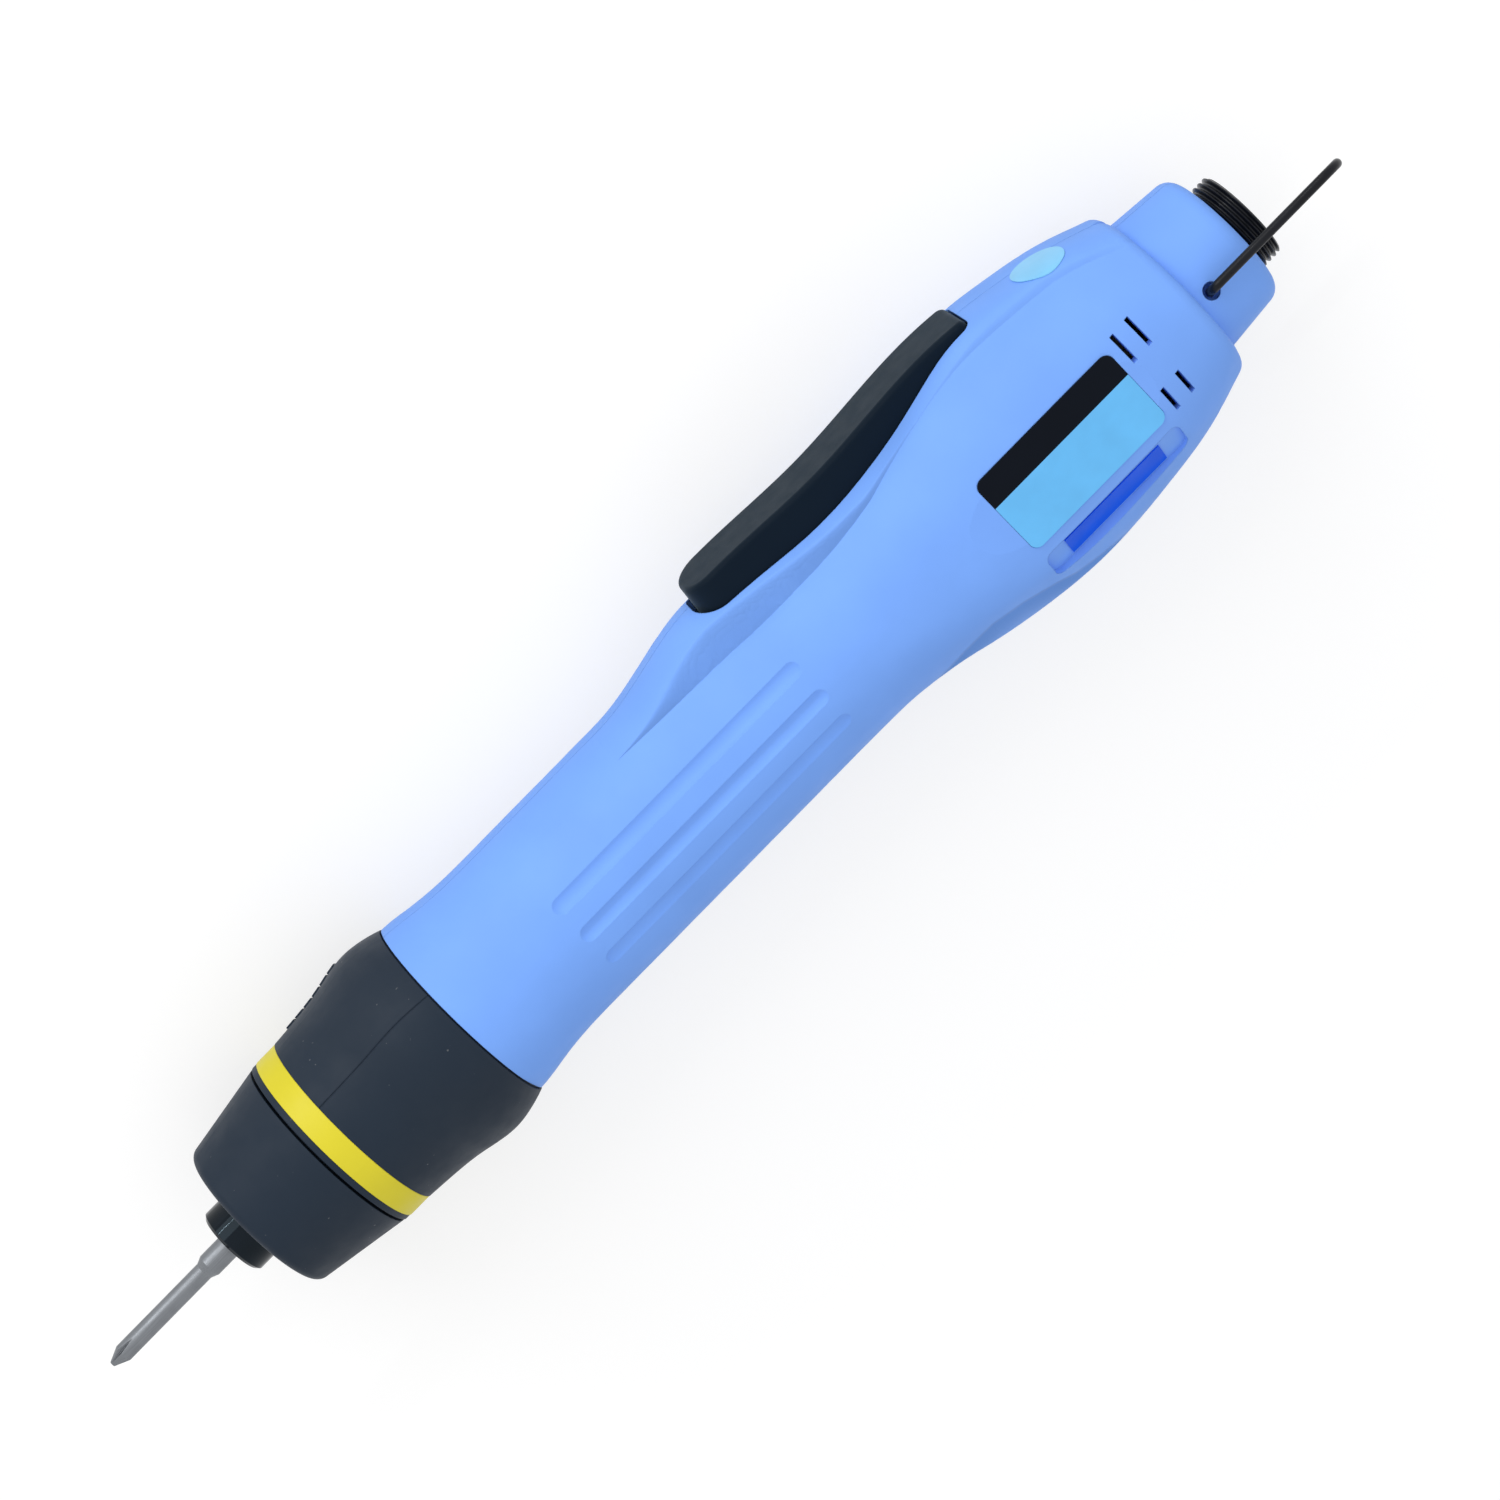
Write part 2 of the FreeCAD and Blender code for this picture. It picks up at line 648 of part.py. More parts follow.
def spring_shelf():
    """Shelf across the housing with the peg of the lever spring."""
    top = SHELF_Y + SHELF_T
    shelf = block(SPRING_X - SHELF_HALF, SPRING_X + SHELF_HALF, SHELF_Y, top, PART_GAP, FLAT_HALF)
    peg = Part.makeCylinder(PEG_R, PEG_LEN + WALL, Vector(SPRING_X, top - WALL, 0), Y_AXIS)
    return [shelf, peg]


def pin_boss():
    start = Vector(PIVOT_X, LEVER_PIVOT_Y, LEVER_FOOT_HALF + PIN_BOSS_GAP)
    return Part.makeCylinder(PIN_BOSS_R, FLAT_HALF, start, Z_AXIS)


def screw_bosses():
    boss = Part.makeCylinder(SCREW_BOSS_R, FLAT_HALF, Vector(0, 0, PART_GAP), Z_AXIS)
    return [moved(boss, Vector(x, y, 0)) for x, y in SCREW_PLACES]


def grip_grooves():
    """Cutters of the three long grooves on one side of the grip."""
    radius = GROOVE_WIDTH ** 2 / (8 * GROOVE_DEPTH) + GROOVE_DEPTH / 2
    reach = WAIST_R + radius - GROOVE_DEPTH
    sag = GROOVE_WIDTH / 2
    rod = tube(GROOVE_FRONT_X + sag, GROOVE_FRONT_X + GROOVE_LEN - sag, radius)
    ends = [Part.makeSphere(radius, Vector(x, 0, 0))
            for x in (GROOVE_FRONT_X + sag, GROOVE_FRONT_X + GROOVE_LEN - sag)]
    cutter = moved(fused([rod] + ends), Vector(0, reach, 0))
    return [around(cutter, 90 + angle) for angle in GROOVE_ANGLES]


def vents():
    """Cutters of the vent slots on one side."""
    cutters = []
    for x in VENT_X:
        for y, length in zip((-VENT_MID, VENT_MID), VENT_LENS):
            cutters.append(block(x - VENT_WIDTH / 2, x + VENT_WIDTH / 2, y - length / 2, y + length / 2,
                                 VENT_Z, 2 * FLAT_HALF))
    return cutters


def housing_shell():
    """Right half without the features that only one half has."""
    outside = half_body(0, 0, BODY_LEN)
    ends = [e for e in outside.Edges if min(v.X for v in e.Vertexes) > BODY_LEN - FIT_GAP]
    rim = [e for e in ends if e.Curve.TypeId != "Part::GeomLine"]
    outside = outside.makeFillet(SHOULDER_ROUND, rim)
    cavity = half_body(WALL, -CUT_OVER, BODY_LEN - WALL)
    middle = half_body(WALL / 2, 0, BODY_LEN - WALL / 2)
    shell = outside.cut(moved(cavity, Vector(0, 0, -CUT_OVER)).fuse(cavity))
    inside = motor_ribs() + board_rails() + spring_shelf() + [pin_boss()] + screw_bosses()
    ribs = [middle.common(piece) for piece in inside]
    spigot = tube(-SPIGOT_LEN, WALL, SPIGOT_R, CASE_R + RUN_GAP)
    groove = tube(-CASE_FLANGE_FRONT - FIT_GAP, MOTOR_X, CASE_FLANGE_R + RUN_GAP)
    half = half_space()
    shell = shell.fuse(ribs + [spigot.common(half), neck().common(half)])
    shell = shell.cut([groove, tube(BODY_LEN - NECK_ROOT - CUT_OVER, NECK_X, SOCKET_BODY_R + RUN_GAP)])
    slot = lever_block(-LEVER_SLOT_GAP, LEVER_FRONT_GAP - LEVER_SLOT_GAP, LEVER_BOTTOM - CUT_OVER,
                       LEVER_HEAD + CUT_OVER)
    return shell.cut([pivot_rod(LEVER_PIN_R + FIT_GAP, LEVER_PIN_HALF), slot] + grip_grooves() + vents())


def bail_hole(sign):
    start = BAIL_MID + BAIL_DIR * (sign * BAIL_HOLE_END)
    return Part.makeCylinder(BAIL_HOLE_R, BAIL_LEG, start, BAIL_DIR * sign)


def label_outline(x0, length, y0, y1, z, height, rounding):
    """Flat plate with round corners."""
    plate = block(x0, x0 + length, y0, y1, z, z + height)
    if not rounding:
        return plate
    return plate.makeFillet(rounding, [e for e in plate.Edges if abs(e.tangentAt(0).z) > 0.5])


def serial_frame(shape):
    """Puts a plate drawn about z = 0 on the floor of the lower pocket."""
    lean = math.radians(SERIAL_TILT)
    normal = Vector(0, -math.sin(lean), math.cos(lean))
    along = Vector(0, math.cos(lean), math.sin(lean))
    slide = (SERIAL_Y + SERIAL_FLOOR * math.sin(lean)) / math.cos(lean)
    shape.rotate(ORIGIN, X_AXIS, SERIAL_TILT)
    shape.translate(normal * SERIAL_FLOOR + along * slide)
    return shape


def right_housing(shell):
    hole = Part.makeCylinder(SCREW_R, SCREW_REACH + CUT_OVER, ORIGIN, Z_AXIS)
    holes = [moved(hole, Vector(x, y, PART_GAP - CUT_OVER)) for x, y in SCREW_PLACES]
    floor = FLAT_HALF - LABEL_SINK
    gap = RUN_GAP
    label = label_outline(LABEL_X - gap, LABEL_LEN + 2 * gap, -LABEL_HALF - gap, LABEL_HALF + gap, floor,
                          FLAT_HALF, LABEL_ROUND)
    pocket = label_outline(SERIAL_X, SERIAL_LEN, -SERIAL_HALF, SERIAL_HALF, 0, FLAT_HALF, LABEL_ROUND)
    return shell.cut(holes + [label, serial_frame(pocket), bail_hole(1)])


def left_housing(shell):
    half = shell.mirror(ORIGIN, Z_AXIS)
    cutters = [bail_hole(-1)]
    for x, y in SCREW_PLACES:
        cutters.append(Part.makeCylinder(SCREW_R + FIT_GAP, FLAT_HALF, Vector(x, y, -FLAT_HALF), Z_AXIS))
        cutters.append(Part.makeCylinder(SCREW_WELL_R, FLAT_HALF, Vector(x, y, -SCREW_WELL_Z), -Z_AXIS))
    return half.cut(cutters)


def housing_screws():
    screws = []
    for x, y in SCREW_PLACES:
        seat = Vector(x, y, -SCREW_WELL_Z)
        head = Part.makeCylinder(SCREW_HEAD_R, SCREW_HEAD_LEN, seat, -Z_AXIS)
        shank = Part.makeCylinder(SCREW_R - FIT_GAP, SCREW_WELL_Z + SCREW_REACH, seat, Z_AXIS)
        screw = head.fuse(shank)
        arm = SCREW_HEAD_R * SCREW_SLOT_SHARE
        face = -SCREW_WELL_Z - SCREW_HEAD_LEN
        half = SCREW_SLOT / 2
        for long, wide in ((arm, half), (half, arm)):
            screw = screw.cut(block(x - long, x + long, y - wide, y + wide, face - CUT_OVER,
                                    face + SCREW_SLOT))
        screws.append(screw)
    return Part.makeCompound(screws)


# Start lever

def lever_block(inset, front_more, y0, y1):
    """Tapered block with the lever's outline in plan."""
    wires = []
    for y in (y0, y1):
        share = (y - LEVER_BOTTOM) / (LEVER_HEAD - LEVER_BOTTOM)
        half = LEVER_FOOT_HALF + (LEVER_HEAD_HALF - LEVER_FOOT_HALF) * share - inset
        front = LEVER_X + LEVER_FRONT_RAKE * share + inset - front_more
        rear = LEVER_REAR_X - LEVER_REAR_RAKE * share - inset
        wires.append(plan_wire(front, rear, half,
                               LEVER_FRONT_ROUND - inset, max(LEVER_REAR_ROUND - inset, MOVE_GAP), y))
    return Part.makeLoft(wires, True, True)


def lever_side(drop):
    """Slab under the lever's curved top line."""
    heights = [LEVER_FRONT_TOP, LEVER_FRONT_TOP, LEVER_MID_TOP, LEVER_REAR_TOP, LEVER_END_TOP]
    shares = (0,) + LEVER_TOP_SHARES + (1,)
    top = [Vector(LEVER_X + LEVER_LEN * share, height - drop, -FLAT_HALF)
           for share, height in zip(shares, heights)]
    ends = [Vector(p.x, LEVER_BOTTOM - CUT_OVER, p.z) for p in (top[-1], top[0])]
    curve = Part.BSplineCurve()
    curve.interpolate(Points=top)
    edges = [curve.toShape(), line(top[-1], ends[0]), line(ends[0], ends[1]), line(ends[1], top[0])]
    return Part.Face(Part.Wire(edges)).extrude(Vector(0, 0, 2 * FLAT_HALF))


def start_lever():
    outside = lever_block(0, 0, LEVER_BOTTOM, LEVER_HEAD).common(lever_side(0))
    top = max(outside.Faces, key=lambda f: f.CenterOfMass.y)
    outside = outside.makeFillet(LEVER_EDGE_ROUND, top.Edges)
    inner = lever_block(LEVER_WALL, 0, LEVER_BOTTOM - CUT_OVER, LEVER_HEAD).common(lever_side(LEVER_WALL))
    shell = outside.cut(inner)
    roof = LEVER_MID_TOP - LEVER_WALL
    hub = pivot_rod(LEVER_HUB_R, LEVER_HEAD_HALF)
    web = block(PIVOT_X - LEVER_HUB_R, PIVOT_X + LEVER_HUB_R, LEVER_PIVOT_Y, roof + LEVER_WALL / 2,
                -LEVER_HEAD_HALF, LEVER_HEAD_HALF)
    peg = Part.makeCylinder(PEG_R, PEG_LEN + LEVER_WALL / 2, Vector(SPRING_X, roof - PEG_LEN, 0), Y_AXIS)
    post = Part.makeCylinder(LEVER_POST_R, roof + LEVER_WALL / 2 - LEVER_BOTTOM,
                             Vector(SENSOR_X, LEVER_BOTTOM, 0), Y_AXIS)
    ceiling = smooth(TOP_LINE, LEVER_X) + SPINE_FRONT - WALL - LEVER_LIP_DROP
    lip = block(LEVER_X - LEVER_LIP, LEVER_X + LEVER_WALL / 2, ceiling - LEVER_LIP_T, ceiling,
                -LEVER_LIP_HALF, LEVER_LIP_HALF)
    lever = fused([shell, hub, web, peg, post, lip])
    bore = pivot_rod(LEVER_PIN_R + RUN_GAP, FLAT_HALF)
    seat = Part.makeCylinder(LEVER_MAGNET_R + FIT_GAP, LEVER_MAGNET_LEN + CUT_OVER,
                             Vector(SENSOR_X, LEVER_BOTTOM - CUT_OVER, 0), Y_AXIS)
    return lever.cut([bore, seat])


def pivot_rod(radius, half):
    """Rod on the lever's pivot line."""
    return Part.makeCylinder(radius, 2 * half, Vector(PIVOT_X, LEVER_PIVOT_Y, -half), Z_AXIS)


def lever_pin():
    return pivot_rod(LEVER_PIN_R, LEVER_PIN_HALF)


def lever_magnet():
    return Part.makeCylinder(LEVER_MAGNET_R, LEVER_MAGNET_LEN, Vector(SENSOR_X, LEVER_BOTTOM, 0), Y_AXIS)


def lever_spring():
    roof = LEVER_MID_TOP - LEVER_WALL
    return coil(Vector(SPRING_X, SHELF_Y + SHELF_T + FIT_GAP, 0), Vector(SPRING_X, roof - FIT_GAP, 0),
                LEVER_COIL_R, LEVER_WIRE, LEVER_TURNS)


# Front covers

def clutch_cover():
    groove_x = COVER_X + COVER_LIP
    groove_end = groove_x + MARKER_LEN + 2 * FIT_GAP
    floor = MARKER_R - MARKER_DEPTH
    radii = (COVER_MID_R, COVER_SWELL_R, FLAT_HALF, COVER_BACK_R)
    skin = [Vector(groove_end, MARKER_R + RUN_GAP, 0)]
    skin += [Vector(COVER_X + COVER_LEN * share, r, 0) for share, r in zip(COVER_SHARES, radii)]
    skin.append(Vector(-COVER_SEAM, COVER_REAR_R, 0))
    curve = Part.BSplineCurve()
    curve.interpolate(Points=skin)
    bore = COVER_BORE_R
    land = CASE_R + RUN_GAP
    land_x = CASE_WALL_X
    spigot = SPIGOT_R + RUN_GAP
    step_x = -SPIGOT_LEN - MOVE_GAP
    land_end = land_x + COVER_LAND_LEN
    seam = COVER_REAR_R - COVER_SEAM_DEPTH
    path = [(-COVER_SEAM, COVER_REAR_R), (-COVER_SEAM, seam), (0, seam), (0, spigot), (step_x, spigot),
            (step_x, bore), (land_end, bore), (land_end, land), (land_x, land), (land_x, bore),
            (COVER_X, bore), (COVER_X, COVER_FRONT_R), (groove_x, COVER_FRONT_R), (groove_x, floor),
            (groove_end, floor), (groove_end, MARKER_R + RUN_GAP)]
    corners = [Vector(x, r, 0) for x, r in path]
    cover = turned_edges([curve.toShape()] + [line(p, q) for p, q in zip(corners, corners[1:])])
    half = MOULD_LINE_WIDTH / 2
    cut = block(groove_end, -COVER_SEAM, FRONT_R - CUT_OVER, 2 * FRONT_R, -half, half)
    keep = turned_edges([moved(curve.toShape(), Vector(0, -MOULD_LINE_DEPTH, 0)).copy()]
                        + [line(p, q) for p, q in closing_lines(skin, MOULD_LINE_DEPTH)])
    mark = around(cut.cut(keep), 90 - MOULD_LINE_ANGLE)
    cover = cover.cut(mark)
    return cover.fuse(cover_ribs(curve)).removeSplitter()


def closing_lines(skin, depth):
    """Edges that close the region between a skin sunk by depth and the axis."""
    first = Vector(skin[0].x, skin[0].y - depth, 0)
    last = Vector(skin[-1].x, skin[-1].y - depth, 0)
    foot = [Vector(last.x, 0, 0), Vector(first.x, 0, 0)]
    return [(last, foot[0]), (foot[0], foot[1]), (foot[1], first)]


def height_on(curve, x):
    probe = Part.LineSegment(Vector(x, 0, 0), Vector(x, 2 * FLAT_HALF, 0))
    return curve.intersectCC(probe)[0].Y


def cover_ribs(curve):
    """Short raised bars in a row on the cover's lever side."""
    ribs = []
    for k in range(RIB_COUNT):
        x0 = RIB_FRONT_X + k * RIB_PITCH
        heights = [height_on(curve, x) for x in (x0, x0 + RIB_LEN)]
        x1 = x0 + RIB_LEN
        corners = [Vector(x0, heights[0] + RIB_HEIGHT, 0), Vector(x1, heights[1] + RIB_HEIGHT, 0),
                   Vector(x1, heights[1] - RIB_HEIGHT, 0), Vector(x0, heights[0] - RIB_HEIGHT, 0)]
        bar = Part.Face(Part.makePolygon(corners + corners[:1])).revolve(ORIGIN, X_AXIS, RIB_SPAN)
        ribs.append(around(bar, -RIB_SPAN / 2 - RIB_TURN))
    return ribs


def marker_ring():
    x0 = COVER_X + COVER_LIP + FIT_GAP
    return tube(x0, x0 + MARKER_LEN, MARKER_R, MARKER_R - MARKER_DEPTH + FIT_GAP)


def torque_ring():
    """Cap that screws along the gear case's nose."""
    lean = (TORQUE_REAR_R - TORQUE_FRONT_R) / TORQUE_LEN
    inner_front = TORQUE_FRONT_R + lean * TORQUE_FACE - TORQUE_WALL
    inner_rear = TORQUE_REAR_R - TORQUE_WALL
    hole = SLEEVE_R + SLEEVE_HOLE_GAP
    hub = NOSE_R + RUN_GAP
    back = TORQUE_X + TORQUE_FACE
    hub_end = back + HUB_LEN
    round_x = TORQUE_X + TORQUE_ROUND
    rim = TORQUE_FRONT_R + lean * TORQUE_ROUND
    diagonal = TORQUE_ROUND * (1 - math.sqrt(0.5))
    front = Vector(TORQUE_X, TORQUE_FRONT_R - TORQUE_ROUND, 0)
    bend = Vector(TORQUE_X + diagonal, TORQUE_FRONT_R - diagonal, 0)
    side = Vector(round_x, rim, 0)
    skirt = COVER_BORE_R - MOVE_GAP
    inner = skirt - SKIRT_WALL
    skirt_end = TORQUE_REAR_X + SKIRT_LEN
    path = [(round_x, rim), (TORQUE_REAR_X, TORQUE_REAR_R), (TORQUE_REAR_X, skirt), (skirt_end, skirt),
            (skirt_end, inner), (TORQUE_REAR_X - WALL, inner),
            (TORQUE_REAR_X - WALL, min(inner_rear, inner)), (back, inner_front), (back, hub + HUB_WALL),
            (hub_end, hub + HUB_WALL), (hub_end, hub), (back, hub), (back, hole), (TORQUE_X, hole),
            (TORQUE_X, TORQUE_FRONT_R - TORQUE_ROUND)]
    corners = [Vector(x, r, 0) for x, r in path]
    edges = [line(p, q) for p, q in zip(corners, corners[1:]) if (q - p).Length > 0]
    return turned_edges([Part.Arc(front, bend, side).toShape()] + edges)


# Gear train and clutch

def tooth_outline(teeth, tip, root, thicker):
    """Closed involute outline about X at x = 0; thicker widens each tooth on its pitch circle."""
    pitch = GEAR_MODULE * teeth / 2
    lean = math.radians(PRESSURE_ANGLE)
    base = pitch * math.cos(lean)
    half = math.pi / (2 * teeth) + thicker / (2 * pitch)
    points = []
    start = max(base, root)
    flank = []
    for i in range(FLANK_STEPS):
        r = start + (tip - start) * i / (FLANK_STEPS - 1)
        at = math.acos(base / r)
        flank.append((r, half + math.tan(lean) - lean - math.tan(at) + at))
    if root < base:
        flank.insert(0, (root, flank[0][1]))
    for k in range(teeth):
        middle = 2 * math.pi * k / teeth
        sides = [(r, middle - a) for r, a in flank] + [(r, middle + a) for r, a in reversed(flank)]
        points += [Vector(0, r * math.cos(a), r * math.sin(a)) for r, a in sides]
    return points


def gear_solid(teeth, x0, length, tip, root, thicker, turn):
    points = [moved_point(p, x0) for p in tooth_outline(teeth, tip, root, thicker)]
    solid = Part.Face(Part.makePolygon(points + points[:1])).extrude(Vector(length, 0, 0))
    return around(solid, turn)


def moved_point(point, x):
    return Vector(x, point.y, point.z)


def outer_gear(teeth, x0, length, turn):
    pitch = GEAR_MODULE * teeth / 2
    return gear_solid(teeth, x0, length, pitch + GEAR_MODULE * ADDENDUM_SHARE,
                      pitch - GEAR_MODULE * DEDENDUM_SHARE, -BACKLASH, turn)


def ring_gear():
    pitch = GEAR_MODULE * RING_TEETH / 2
    space = gear_solid(RING_TEETH, RING_X - CUT_OVER, RING_REAR_X - RING_X + 2 * CUT_OVER,
                       pitch + GEAR_MODULE * DEDENDUM_SHARE, pitch - GEAR_MODULE * ADDENDUM_SHARE,
                       BACKLASH, 0)
    ring = tube(RING_X, RING_REAR_X, RING_R).cut(space)
    dimple = tube(RING_X - CUT_OVER, RING_X + CLUTCH_DIMPLE, CLUTCH_PIN_R + FIT_GAP)
    return ring.cut([moved(dimple, place) for place in clutch_places()])


def clutch_places():
    root = GEAR_MODULE * (RING_TEETH / 2 + DEDENDUM_SHARE)
    return [polar(0, (root + RING_R) / 2, (k + 0.5) * 360 / CLUTCH_PINS) for k in range(CLUTCH_PINS)]


def planet_gear(index):
    turn = 0 if PLANET_TEETH % 2 else 180 / PLANET_TEETH
    gear = outer_gear(PLANET_TEETH, PLANET_X, GEAR_FACE, turn)
    gear = gear.cut(tube(PLANET_X - CUT_OVER, PLANET_REAR_X + CUT_OVER, PIN_R + RUN_GAP))
    return around(moved(gear, Vector(0, PLANET_CIRCLE_R, 0)), index * 360 / PLANETS)


def planet_pins():
    pin = tube(CARRIER_X, PLANET_REAR_X, PIN_R)
    return Part.makeCompound([around(moved(pin, Vector(0, PLANET_CIRCLE_R, 0)), k * 360 / PLANETS)
                              for k in range(PLANETS)])


def sun_pinion():
    gear = outer_gear(SUN_TEETH, PLANET_X, GEAR_FACE, 0)
    return gear.cut(tube(PLANET_X - CUT_OVER, PLANET_REAR_X + CUT_OVER, SHAFT_R + FIT_GAP))


def gear_case():
    """Barrel round the ring gear, with the nose that carries spindle and torque ring."""
    inner = RING_R + RUN_GAP
    bore = BUSH_R + FIT_GAP
    wall_end = CASE_WALL_X + CASE_WALL
    bearing_end = NOSE_X + BEARING_SETBACK + BEARING_LEN
    seat = BEARING_R + FIT_GAP
    rear = MOTOR_X - FIT_GAP
    case = turned([(NOSE_X, seat), (NOSE_X, NOSE_R), (CASE_WALL_X, NOSE_R), (CASE_WALL_X, CASE_R),
                   (-CASE_FLANGE_FRONT, CASE_R), (-CASE_FLANGE_FRONT, CASE_FLANGE_R), (rear, CASE_FLANGE_R),
                   (rear, inner), (wall_end, inner), (wall_end, bore), (bearing_end, bore),
                   (bearing_end, seat)])
    hole = tube(CASE_WALL_X - CUT_OVER, wall_end + CUT_OVER, CLUTCH_PIN_R + RUN_GAP)
    key = block(NOSE_X - CUT_OVER, WASHER_X, NOSE_R - KEY_DEPTH, 2 * NOSE_R, -KEY_WIDTH / 2, KEY_WIDTH / 2)
    return case.cut([hole.translated(place) for place in clutch_places()] + [key])


def clutch_pins():
    rod = tube(WASHER_REAR_X + FIT_GAP, RING_X + CLUTCH_DIMPLE - FIT_GAP, CLUTCH_PIN_R)
    return Part.makeCompound([moved(rod, place) for place in clutch_places()])


def clutch_washer():
    return tube(WASHER_X, WASHER_REAR_X, WASHER_R, NOSE_R + RUN_GAP)


def spring_seat():
    seat = tube(SEAT_X, SEAT_X + SEAT_LEN, SEAT_R, NOSE_R + RUN_GAP)
    tab_half = KEY_WIDTH / 2 - RUN_GAP
    foot = NOSE_R - KEY_DEPTH + RUN_GAP
    tab = block(SEAT_X, SEAT_X + SEAT_LEN, foot, SEAT_R - WALL, -tab_half, tab_half)
    return seat.fuse(tab).removeSplitter()


def clutch_spring():
    return coil(Vector(SEAT_X + SEAT_LEN + FIT_GAP, 0, 0), Vector(WASHER_X - FIT_GAP, 0, 0),
                CLUTCH_COIL_R, CLUTCH_WIRE, CLUTCH_TURNS)


# Output

def output_spindle():
    """Spindle with the planet carrier as its flange and the bit socket in its nose."""
    spindle = fused([tube(SLEEVE_X + SPINDLE_SETBACK, CARRIER_X, SPINDLE_R),
                     tube(CARRIER_X, CARRIER_X + CARRIER_LEN, CARRIER_R)])
    tail = BIT_X + BIT_LEN + RUN_GAP
    socket = tube(SLEEVE_X - CUT_OVER, tail, BIT_R + RUN_GAP)
    flat = block(tail - BIT_FLAT_LEN - RUN_GAP, tail + CUT_OVER, BIT_FLAT + RUN_GAP, SPINDLE_R, -SPINDLE_R,
                 SPINDLE_R)
    cutters = [socket.cut(flat)]
    for angle in (0, 180):
        cutters.append(Part.makeCylinder(LOCK_BALL_R + RUN_GAP, SPINDLE_R + CUT_OVER,
                                         Vector(SLEEVE_X + LOCK_X, 0, 0), polar(0, 1, angle)))
    hole = moved(tube(CARRIER_X - CUT_OVER, PLANET_X, PIN_R + FIT_GAP / 2), Vector(0, PLANET_CIRCLE_R, 0))
    cutters += [around(hole, k * 360 / PLANETS) for k in range(PLANETS)]
    nose = SLEEVE_X + SPINDLE_SETBACK + CLIP_LEN / 2
    cutters.append(tube(nose - FIT_GAP, nose + CLIP_LEN + FIT_GAP, CLIP_R, SPINDLE_R - CLIP_LEN))
    return spindle.cut(cutters)


def sleeve_clip():
    nose = SLEEVE_X + SPINDLE_SETBACK + CLIP_LEN / 2
    return tube(nose, nose + CLIP_LEN, SPINDLE_R + CLIP_LEN, SPINDLE_R - CLIP_LEN + FIT_GAP)


def bit_sleeve():
    """Sleeve that is pushed back against its spring to free the bit."""
    rear = SLEEVE_X + SLEEVE_LEN
    clip_end = SLEEVE_X + SPINDLE_SETBACK + 2 * CLIP_LEN
    land = SPINDLE_R + RUN_GAP
    land_x = SLEEVE_X + LOCK_X - LOCK_BALL_R
    land_end = SLEEVE_X + LOCK_X + LOCK_BALL_R
    relief = SLEEVE_RELIEF_R
    return turned([(SLEEVE_X, relief), (SLEEVE_X, SLEEVE_R - SLEEVE_CHAMFER),
                   (SLEEVE_X + SLEEVE_CHAMFER, SLEEVE_R), (rear, SLEEVE_R), (rear, relief),
                   (land_end, relief), (land_end, land), (land_x, land),
                   (max(clip_end, SLEEVE_X + SPINDLE_SETBACK), relief)])


def sleeve_spring():
    start = SLEEVE_X + LOCK_X + LOCK_BALL_R + FIT_GAP
    end = NOSE_X + BEARING_SETBACK - FIT_GAP
    return coil(Vector(start, 0, 0), Vector(end, 0, 0), SPINDLE_R + SLEEVE_WIRE, SLEEVE_WIRE, SLEEVE_TURNS)


def lock_balls():
    reach = SPINDLE_R - LOCK_BALL_R - FIT_GAP
    places = [polar(SLEEVE_X + LOCK_X, reach, angle) for angle in (0, 180)]
    return Part.makeCompound([Part.makeSphere(LOCK_BALL_R, place) for place in places])


def screw_bit():
    """Cross-head bit with a drive flat and a lock groove."""
    tail = BIT_X + BIT_LEN
    thin_end = BIT_X + BIT_THIN_LEN
    lock = SLEEVE_X + LOCK_X
    half = BIT_NECK_LEN / 2
    slope = BIT_R - BIT_NECK_R
    bit = turned([(BIT_X, 0), (BIT_X, BIT_POINT_R), (BIT_X + BIT_CONE_LEN, BIT_SHANK_R),
                  (thin_end, BIT_SHANK_R), (thin_end + BIT_STEP, BIT_R), (lock - half - slope, BIT_R),
                  (lock - half, BIT_NECK_R), (lock + half, BIT_NECK_R), (lock + half + slope, BIT_R),
                  (tail, BIT_R), (tail, 0)])
    bit = bit.cut(block(tail - BIT_FLAT_LEN, tail + CUT_OVER, BIT_FLAT, 2 * BIT_R, -BIT_R, BIT_R))
    rise = BIT_SHANK_R - BIT_POINT_R
    lean = math.degrees(math.atan2(rise, BIT_FLUTE_LEN))
    wedge = block(-CUT_OVER, 2 * BIT_FLUTE_LEN, 0, BIT_R, 0, BIT_R)
    wedge.rotate(ORIGIN, X_AXIS, -45)
    wedge.rotate(ORIGIN, Z_AXIS, lean)
    wedge.translate(Vector(BIT_X, BIT_POINT_R, 0))
    return bit.cut([around(wedge, 45 + 90 * k) for k in range(4)])


def spindle_bush():
    start = CASE_WALL_X + CASE_WALL - BUSH_LEN
    return tube(start, start + BUSH_LEN, BUSH_R, SPINDLE_R + RUN_GAP)


# Motor

def motor_plate(x0, spigot_x):
    """End plate with a bearing seat and a spigot in the can."""
    bearing = MOTOR_BEARING_R + FIT_GAP
    plate = tube(x0, x0 + PLATE_LEN, MOTOR_R, SHAFT_R + MOVE_GAP)
    spigot = tube(spigot_x, spigot_x + PLATE_SPIGOT, MOTOR_R - MOTOR_WALL - FIT_GAP, SHAFT_R + MOVE_GAP)
    return plate, spigot, bearing


def motor_front_plate():
    plate, spigot, bearing = motor_plate(MOTOR_X, CAN_X)
    body = plate.fuse(spigot).removeSplitter()
    return body.cut(tube(CAN_X + PLATE_SPIGOT - MOTOR_BEARING_LEN, CAN_X + 2 * PLATE_SPIGOT, bearing))


